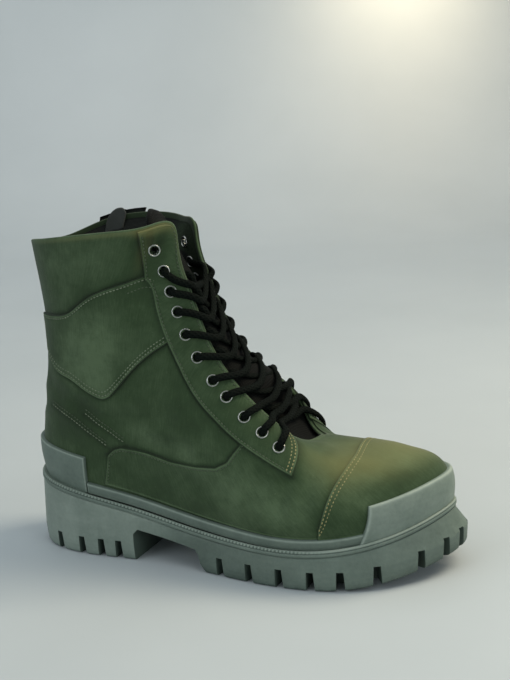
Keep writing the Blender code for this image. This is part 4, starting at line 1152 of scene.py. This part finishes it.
def soleShadeAndWear(spots):
    # paler heel, dimmer toe, darker towards the tread, painted shade on the shank and black painted shade
    # inside the notches and the arch
    x, z = spots[:, 0], spots[:, 2]
    away = np.array([np.linalg.norm(wallPlan - spot, axis=-1) for spot in spots[:, :2]])
    nearest = np.linspace(0, loop, len(wallPlan))[away.argmin(axis=1)]
    wallTop = soleSpring(x) + sole["wallRings"][-1][1]
    rimFoot = rimHeight(x) - sole["rimRings"][0][1]
    slant = rimInset(nearest) * np.clip((z - wallTop) / (rimFoot - wallTop), 0, 1)
    pale, *heel = sole["heelPale"]
    dim, *toe = sole["toeDim"]
    footDark, footReach = sole["footDark"]
    shankDark, shank, shankReach = sole["shankDark"]
    notchDark, *deep = sole["notchDark"]
    inside = smooth(away.min(axis=1) - slant, *deep) * (z < rimFoot + 1)
    dark = footDark * bell(z - soleSpring(x), footReach) + shankDark * bell(x - shank, shankReach)
    return {"wearAndHighlight": pale * (1 - smooth(x, *heel)) - dim * smooth(x, *toe), "dark": dark + notchDark * inside}


def makeOutsole():
    at = np.linspace(0, loop, sole["columns"], endpoint=False)
    rings = [fromFloor(at, *ring) for ring in sole["wallRings"]]
    rings = np.array(rings + [fromRim(at, *ring) for ring in sole["rimRings"]])
    count, half = len(at), len(at) // 2
    bm = bmesh.new()
    verts = [bm.verts.new(point) for point in toWorld(rings.reshape(-1, 3))]
    for face in gridFaces(len(rings), count, closedCols=True):
        bm.faces.new([verts[k] for k in face])
    for edge in (verts[:count], verts[-count:]):
        bm.faces.new((edge[0], edge[1], edge[-1]))
        bm.faces.new((edge[half - 1], edge[half], edge[half + 1]))
        for k in range(1, half - 1):
            bm.faces.new((edge[k], edge[k + 1], edge[-k - 1], edge[-k]))
    bmesh.ops.recalc_face_normals(bm, faces=bm.faces)
    piece = bmObject("soleBlock", bm)
    cutSole(piece)
    mesh = piece.data
    mesh.shade_smooth()
    mesh.set_sharp_from_angle(angle=math.radians(38))
    spots = np.array([face.center for face in mesh.polygons]) / mm - origin
    for key, value in soleShadeAndWear(spots).items():
        layer = mesh.attributes.new(key, "FLOAT", "FACE")
        layer.data.foreach_set("value", value.astype(np.float32))
    dress(piece, rubber, ("outsole",))


def makeRim():
    # serrated bead around the top of the sole, with the seat for the upper
    stations = np.linspace(0, loop, 2000)
    length = runLength(outline(stations))
    at = np.interp(np.linspace(0, length[-1], sole["rimColumns"], endpoint=False), length, stations)
    pitch, depth = sole["knurl"]
    teeth = length[-1] // pitch
    wave = np.interp(at, stations, length) * teeth / length[-1]
    fromToe = np.minimum(at, loop - at)
    bite = depth * (0.5 + 0.5 * np.cos(2 * math.pi * wave)) ** 2 * smooth(fromToe, *sole["knurlFrom"])
    heel = smooth(fromToe, *sole["heelSeat"])
    rings, wearAndHighlight, dark = [], [], []
    for inset, drop, share, pale, shade in sole["beadRings"]:
        seat = drop * (1 - sole["seatRise"] * heel) if inset > sole["seatFrom"] else drop
        rings.append(fromRim(at, inset + share * bite, seat))
        # paler crest with a painted highlight, darker where the serration bites in: painted shade
        wearAndHighlight.append(pale - 0.5 * bite * (share == 1))
        dark.append(np.full_like(at, shade))
    points = np.array(rings).reshape(-1, 3)
    faces = gridFaces(len(rings), len(at), closedCols=True)[:, ::-1]
    values = {"wearAndHighlight": wearAndHighlight, "dark": dark}
    dress(meshObject("soleRim", points, faces, np.zeros((len(points), 2)), values), rubber)


def makeInsole():
    look = {"clear": 3.4, "deepest": 34, "columns": 240,
            # inset, height
            "rings": ((0.4, 0), (0, 0.8), (0, 3.0), (0.5, 3.7), (1.6, 4.0), (8, 3.6), (16, 3.4), (24, 3.4))}
    at = np.linspace(0, loop, look["columns"], endpoint=False)
    rings = []
    for inset, height in look["rings"]:
        deep = np.minimum(rimInset(at) + boot["feather"] + look["clear"] + inset, look["deepest"])
        plan = outline(at, deep)
        rings.append(raised(plan, rimHeight(plan[:, 0]) - boot["lipDrop"] + boot["seatGap"] + height))
    middle = rings[-1].copy()
    middle[:, 1] = (middle[:, 1] + middle[-np.arange(len(at)), 1]) / 2
    rings = np.array(rings + [middle])
    faces = gridFaces(len(rings), len(at), closedCols=True)[:, ::-1]
    piece = meshObject("footbed", rings.reshape(-1, 3), faces, rings[..., :2].reshape(-1, 2))
    dress(piece, footbedCloth, ("insole",))


makeOutsole()
makeRim()
makeInsole()
print("sole and footbed ready")


# Tongue: padded sheet behind the lacing
tongueShape = {
    "depth": 6.2, "thick": 4.2, "round": 3.0, "under": (0.40, 0.22), "bulge": 0.6, "rise": (13.0, 12.3),
    "columns": 44, "rows": 120, "crown": (0.5, 1.3),
    "channel": (0.45, 6.0, 1.2),              # depth, place inside the edge, reach
    "setback": 16.0, "leanFrom": 4,           # top end leans back inside the shaft
    "foot": ((1.0, 0.92), (0.65, 0.935), (0, 0.94)),
    "low": ((1.0, 1.05, 0.985), (1.95, 2.25, 0.95)),     # throat station, then its own edge
}


def bridge(outer, inner, outerLead, innerLead, shares, bulge):
    span = np.linalg.norm(inner - outer) * bulge
    return hermite(outer, inner, unit(outer - outerLead) * span, unit(innerLead - inner) * span,
                   np.asarray(shares)[:, None])


def throatRow(edge, under, height):
    # points from under the outer flap across the throat to under the inner flap
    station, level = np.linspace(under, edge, 4).T
    outer, inner = skin(station, level, height), skin(loop - station, level, height)[::-1]
    shares = np.linspace(0, 1, 9)[1:-1]
    middle = bridge(outer[-1], inner[0], outer[-2], inner[1], shares, tongueShape["bulge"])
    row = np.concatenate([outer, middle, inner])
    length = runLength(row)
    return spline(length, row, np.linspace(0, length[-1], tongueShape["columns"]))


def tongueLean(along):
    start, end = tongueShape["leanFrom"], len(eyestay["front"]) - 1
    return tongueShape["setback"] * max((along - start) / (end - start), 0) ** 2


def tongueGrid():
    depth = -tongueShape["depth"]
    edges = [((low[0], 1.0), low[1:]) for low in tongueShape["low"]]
    for along, under in enumerate(np.linspace(*tongueShape["under"], len(eyestay["front"]))):
        edges.append((onEyestay(along, 0), onEyestay(along, under)))
    rows = [throatRow(np.array(edge), np.array(under), depth) for edge, under in edges]
    count = len(eyestay["front"])
    for along in range(count):
        rows[along - count][:, 0] -= tongueLean(along)
    foot = np.array(tongueShape["foot"])
    foot = np.concatenate([foot, (foot * (-1, 1))[-2::-1]])
    first = throughPoints(skin(foot[:, 0], foot[:, 1], depth + 2), tongueShape["columns"])
    last = unit(rows[-1] - rows[-2])
    arch = 1 - abs(np.linspace(-1, 1, tongueShape["columns"])) ** 2.5
    low, high = tongueShape["rise"]
    rows[-1] = rows[-1] - last * (low * (1 - arch))[:, None]
    rows = np.array([first] + rows + [rows[-1] + last * (1 + high * arch)[:, None]])
    length = np.concatenate([[0], np.cumsum(np.linalg.norm(np.diff(rows, axis=0), axis=-1).mean(axis=1))])
    return spline(length, rows, np.linspace(0, length[-1], tongueShape["rows"]))


def makeTongue():
    middle = tongueGrid()
    out = unit(np.cross(np.gradient(middle, axis=1), np.gradient(middle, axis=0)))
    distance = edgeDistance(middle)
    fat = tongueShape["thick"] / 2 * dome(distance, tongueShape["round"])
    tall, turn = tongueShape["crown"]
    crown = tall * np.cos(np.linspace(-turn, turn, middle.shape[1]))[None]
    depth, place, reach = tongueShape["channel"]
    channel = depth * bell(distance - place, reach)
    front = middle + out * (fat + np.where(distance > 0, crown - channel, 0))[..., None]
    points, faces = twoSided(middle - out * fat[..., None], front)
    piece = meshObject("tonguePad", points, faces, np.concatenate([gridUv(middle)] * 2))
    bm = bmesh.new()
    bm.from_mesh(piece.data)
    bmesh.ops.remove_doubles(bm, verts=bm.verts, dist=0.01 * mm)
    bmesh.ops.recalc_face_normals(bm, faces=bm.faces)
    bm.to_mesh(piece.data)
    bm.free()
    dress(piece, tongueCloth, ("tongue",))


# Eyelets: turned rings set through the cloth, with a washer inside
ring = {
    # radius, height over the cloth: outer flange, rolled lip, bore, washer inside
    "profile": ((4.1, 1.15), (4.15, 1.5), (4.0, 1.85), (3.75, 2.1), (3.45, 2.15), (3.2, 1.95), (3.0, 1.5),
                (2.9, 0.0), (2.9, -2.6), (3.0, -3.0), (3.3, -3.2), (3.7, -3.1), (3.95, -2.75), (3.95, -2.3)),
    "sides": 28,
}


def makeEyelets():
    profile = np.array(ring["profile"])
    turn = np.linspace(0, 2 * math.pi, ring["sides"], endpoint=False)
    groups = {"eyeletsOuter": range(len(outerSeats)), "eyeletsInner": range(len(outerSeats), len(seats))}
    for name, places in groups.items():
        pieces = []
        for k in places:
            out = seatNormals[k]
            side = unit(np.cross(out, (0, 0, 1.0)))
            up = np.cross(out, side)
            spin = np.cos(turn)[:, None] * side + np.sin(turn)[:, None] * up
            points = (seatPoints[k] + profile[:, 0][:, None, None] * spin[None]
                      + profile[:, 1][:, None, None] * out)
            faces = gridFaces(len(profile), len(turn), closedCols=True)[:, ::-1]
            pieces.append((points.reshape(-1, 3), faces, np.zeros((points.size // 3, 2))))
        node = "lateral" if name == "eyeletsOuter" else "medial"
        nodes = [f"eyelet_{node}_{row:02d}" for row in range(1, len(outerSeats) + 1)]
        dress(meshObject(name, *joined(pieces)), nickel, nodes)


# Lace: out of an eyelet, across the throat and up under the other flap to the row above
cord = {"wide": 4.9, "tall": 3.3, "over": 3.7, "edge": 3.1, "under": -4.4, "top": 1, "steps": 70,
        "cross": 1.9, "droop": 6.5, "sag": 0.55, "slant": ((1, 5, 8, 10), (-0.36, -0.24, 0.0, 0.1))}


def flapPoints(row, inner, heights, shares, slant=0.0):
    # on one flap beside an eyelet: share 1 at the eyelet, 0 at the throat edge
    along, across = eyestay["eyelets"][row]
    spots = np.array([onEyestay(along + slant * (1 - share), across * share) for share in shares])
    station = loop - spots[:, 0] if inner else spots[:, 0]
    return skin(station, spots[:, 1], np.array(heights, float)), normals(station, spots[:, 1])


def laceRun(row, inner, target):
    over, edge, under = cord["over"], cord["edge"], cord["under"]
    start, startUp = flapPoints(row, inner, (-3.0, 0.6, over, over + 0.3, edge + 0.2, edge - 0.4),
                                (1.12, 1.03, 0.86, 0.62, 0.3, -0.12), np.interp(row, *cord["slant"]))
    end, endUp = flapPoints(target, not inner, (under + 0.9, under + 0.2, under, under, -3.2),
                            (-0.2, 0.15, 0.5, 0.75, 0.94))
    across = bridge(start[-1], end[0], start[-2], end[1], np.array([0.25, 0.5, 0.75]), 0.5)
    up = unit(startUp[-1] + endUp[0])
    # hangs down the throat and in towards the leaning tongue; one side crosses over the other
    share = np.array([0.65, 1.0, 0.65])[:, None]
    down = unit(outerPoints[min(row + 1, len(outerPoints) - 1)] - outerPoints[row - 1])
    inward = cord["sag"] * tongueLean(eyestay["eyelets"][row][0])
    inward += cord["cross"] if inner else -cord["cross"]
    across = across + share * (down * cord["droop"] * (target < row) - up * inward)
    points = np.concatenate([start, across, end])
    ups = np.concatenate([startUp, np.repeat(up[None], 3, axis=0), endUp])
    length = runLength(points)
    at = np.linspace(0, length[-1], cord["steps"])
    return spline(length, points, at), unit(spline(length, ups, at))


def makeLaces():
    last, top = len(outerSeats) - 1, cord["top"]
    for name, inner in (("laceOuter", False), ("laceInner", True)):
        pieces, total = [], 0.0
        for row, target in [(top, top + 1)] + [(row, row - 1) for row in range(top + 1, last + 1)]:
            path, ups = laceRun(row, inner, target)
            total += runLength(path)[-1]
            pieces.append(tube(path, ups, cord["wide"], cord["tall"]))
        print(name, "runs", len(pieces), "length mm", round(total))
        nodes = () if inner else [f"lace_{row + 1:02d}" for row in range(top, last + 1)]
        dress(meshObject(name, *joined(pieces)), lace, nodes)


makeTongue()
makeEyelets()
makeLaces()
print("tongue, eyelets and lace ready")


# Zip on the inner side of the shaft
fastener = {
    "station": loop - 9.75, "levels": (0.34, 1.02), "tapeHalf": 0.30,
    "tape": (0.3, 1.2, 0.7),        # lift, thickness, edge radius
    "tooth": (3.2, 1.15, 1.3), "pitch": 2.3, "lift": 2.35, "ends": 1.5, "aside": 0.75, "bevel": 0.22,
}


def makeZip():
    grid = stripGrid(fastener["station"], fastener["tapeHalf"], fastener["levels"])
    points = skin(*grid, rolled(edgeDistance(surface(*grid)), *fastener["tape"]))
    tape = gridObject("zipTape", points, None, gridFaces(*grid[0].shape)[:, ::-1])
    dress(tape, tapeCloth, ("zip_tape",))
    level = np.linspace(*fastener["levels"], 400)
    at = np.full_like(level, fastener["station"])
    run, out = skin(at, level, fastener["lift"]), normals(at, level)
    length = runLength(run)
    far = np.arange(fastener["ends"], length[-1] - fastener["ends"], fastener["pitch"] / 2)
    ups, aheads = (unit(sampled(far, length, each)) for each in (out, np.gradient(run, axis=0)))
    size = Matrix.Diagonal((*(each * mm for each in fastener["tooth"]), 1))
    bm = bmesh.new()
    for k, (middle, up, ahead) in enumerate(zip(sampled(far, length, run), ups, aheads)):
        side = np.cross(ahead, up) * (1 if k % 2 else -1)
        turn = Matrix((side, ahead, np.cross(side, ahead))).transposed().to_4x4()
        place = Matrix.Translation(Vector(toWorld(middle + side * fastener["aside"])))
        bmesh.ops.create_cube(bm, size=1, matrix=place @ turn @ size)
    bmesh.ops.recalc_face_normals(bm, faces=bm.faces)
    bmesh.ops.bevel(bm, geom=list(bm.edges), offset=fastener["bevel"] * mm, segments=2, affect="EDGES",
                    profile=0.6)
    piece = bmObject("zipTeeth", bm)
    piece.data.shade_smooth()
    dress(piece, blackMetal, ("zip_chain",))


def soften(node, name, body, width):
    # the CAD shape with rounded edges
    bm = bmesh.new()
    bm.from_mesh(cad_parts[node].data)
    bmesh.ops.remove_doubles(bm, verts=bm.verts, dist=0.01 * mm)
    bmesh.ops.dissolve_limit(bm, angle_limit=math.radians(2), verts=bm.verts, edges=bm.edges)
    sharp = [edge for edge in bm.edges if edge.calc_face_angle(0) > math.radians(40)]
    bmesh.ops.bevel(bm, geom=sharp, offset=width * mm, segments=3, affect="EDGES", profile=0.6,
                    clamp_overlap=True)
    piece = bmObject(name, bm)
    piece.data.shade_smooth()
    piece.data.set_sharp_from_angle(angle=math.radians(45))
    dress(piece, blackMetal, (node,), body)


def makeGuard():
    # rounded cloth tab inside the wall, standing above the collar behind the zip
    look = {"rows": ((-0.19, 0.955, 0.985), (-0.165, 0.95, 1.012), (-0.10, 0.95, 1.028), (-0.03, 0.95, 1.03),
                     (0.03, 0.95, 1.022), (0.075, 0.955, 1.005)), "depth": -4.7, "thick": 1.7, "round": 1.2}
    tab = np.array(look["rows"]) + (fastener["station"], 0, 0)
    grid = panelGrid(tab[:, [0, 1]], tab[:, [0, 2]], 24, 12)
    flat, out = surface(*grid), normals(*grid)
    middle = flat + out * (look["depth"] + look["thick"] / 2)
    fat = out * (look["thick"] / 2 * dome(edgeDistance(flat), look["round"]))[..., None]
    points, faces = twoSided(middle + fat, middle - fat)
    piece = meshObject("zipGuard", points, faces, np.concatenate([gridUv(middle)] * 2))
    dress(piece, guardCloth, ("zip_guard",))


makeZip()
makeGuard()
soften("zip_slider", "zipSlider", "boot", 0.35)
soften("zip_pull", "zipPull", "pull", 0.3)
print("zip ready")


# Floor, light and camera

def makeStage():
    look = {"half": 3.0, "behind": 1.3, "bend": 0.5, "tall": 2.6}
    away = np.array([-math.sin(math.radians(view["azimuth"])), math.cos(math.radians(view["azimuth"]))])
    side = np.array([away[1], -away[0]])
    profile = [(-look["half"], 0.0), (look["behind"], 0.0)]
    for turn in np.linspace(0, math.pi / 2, 13)[1:]:
        profile.append((look["behind"] + look["bend"] * math.sin(turn), look["bend"] * (1 - math.cos(turn))))
    profile.append((look["behind"] + look["bend"], look["tall"]))
    rows = []
    for across in (-look["half"], look["half"]):
        rows.append([(*(away * far + side * across), high) for far, high in profile])
    points = np.array(rows)
    mesh = bpy.data.meshes.new("sweep")
    mesh.from_pydata(points.reshape(-1, 3).tolist(), [], gridFaces(2, len(profile)).tolist())
    mesh.materials.append(stageMaterial())
    floor = addObject("sweep", mesh)
    mesh.shade_smooth()


def addLight(name, place, target, size, power, colour):
    data = bpy.data.lights.new(name, "AREA")
    data.shape = "RECTANGLE"
    data.size, data.size_y = size
    data.energy = power
    data.color = colour
    made = addObject(name, data)
    made.location = place
    made.rotation_euler = (Vector(target) - Vector(place)).to_track_quat("-Z", "Y").to_euler()


view = {"azimuth": 24.17, "elevation": 13.17, "roll": -3.76, "distance": 0.8735, "target": (169.3, 0, 146.0),
        "lens": 70.66, "sensor": 36.0}
lights = (
    ("warmKey", (0.70, 0.42, 1.10), (0.10, 0, 0.06), (0.6, 0.6), 12.5, (1.0, 0.88, 0.66)),
    ("coolFill", (-1.0, -1.4, 0.9), (0, 0, 0.1), (1.2, 1.2), 7.2, (0.88, 0.97, 1.0)),
    ("sideFill", (1.4, -0.75, 0.55), (0.1, 0, 0.05), (0.7, 0.7), 5.5, (0.94, 1.0, 0.99)),
    ("overhead", (-0.1, 0.1, 1.7), (0, 0, 0), (2.4, 2.4), 13, (0.94, 1.0, 1.0)),
    ("wallWash", (-0.70, 1.00, 1.20), (-1.20, 1.55, 0.50), (0.6, 0.6), 3.2, (1.0, 1.0, 0.98)),
    ("wallGlow", (-0.352, 1.640, 0.56), (-0.418, 1.785, 0.27), (0.12, 0.12), 1.1, (1.0, 0.80, 0.52)),
)


def makeCamera():
    azimuth, elevation = math.radians(view["azimuth"]), math.radians(view["elevation"])
    back = Vector((math.sin(azimuth) * math.cos(elevation), -math.cos(azimuth) * math.cos(elevation),
                   math.sin(elevation)))
    right = Vector((math.cos(azimuth), math.sin(azimuth), 0))
    up = back.cross(right)
    roll = math.radians(view["roll"])
    across = right * math.cos(roll) + up * math.sin(roll)
    upward = up * math.cos(roll) - right * math.sin(roll)
    data = bpy.data.cameras.new("camera")
    data.lens, data.sensor_width, data.sensor_height = view["lens"], view["sensor"], view["sensor"]
    data.sensor_fit = "AUTO"
    data.clip_start = 0.05
    made = addObject("camera", data)
    turn = Matrix((across, upward, back)).transposed().to_4x4()
    made.matrix_world = Matrix.Translation(Vector(toWorld(view["target"])) + back * view["distance"]) @ turn
    bpy.context.scene.camera = made


def makeWorld():
    look = {"colour": (0.86, 0.90, 0.92, 1), "strength": 0.33}
    bpy.context.scene.view_settings.view_transform = "Standard"
    world = bpy.data.worlds.new("studio")
    bpy.context.scene.world = world
    world.use_nodes = True
    shade = world.node_tree.nodes["Background"]
    shade.inputs["Color"].default_value = look["colour"]
    shade.inputs["Strength"].default_value = look["strength"]


makeStage()
makeWorld()
for each in lights:
    addLight(*each)
makeCamera()
print("stage ready")
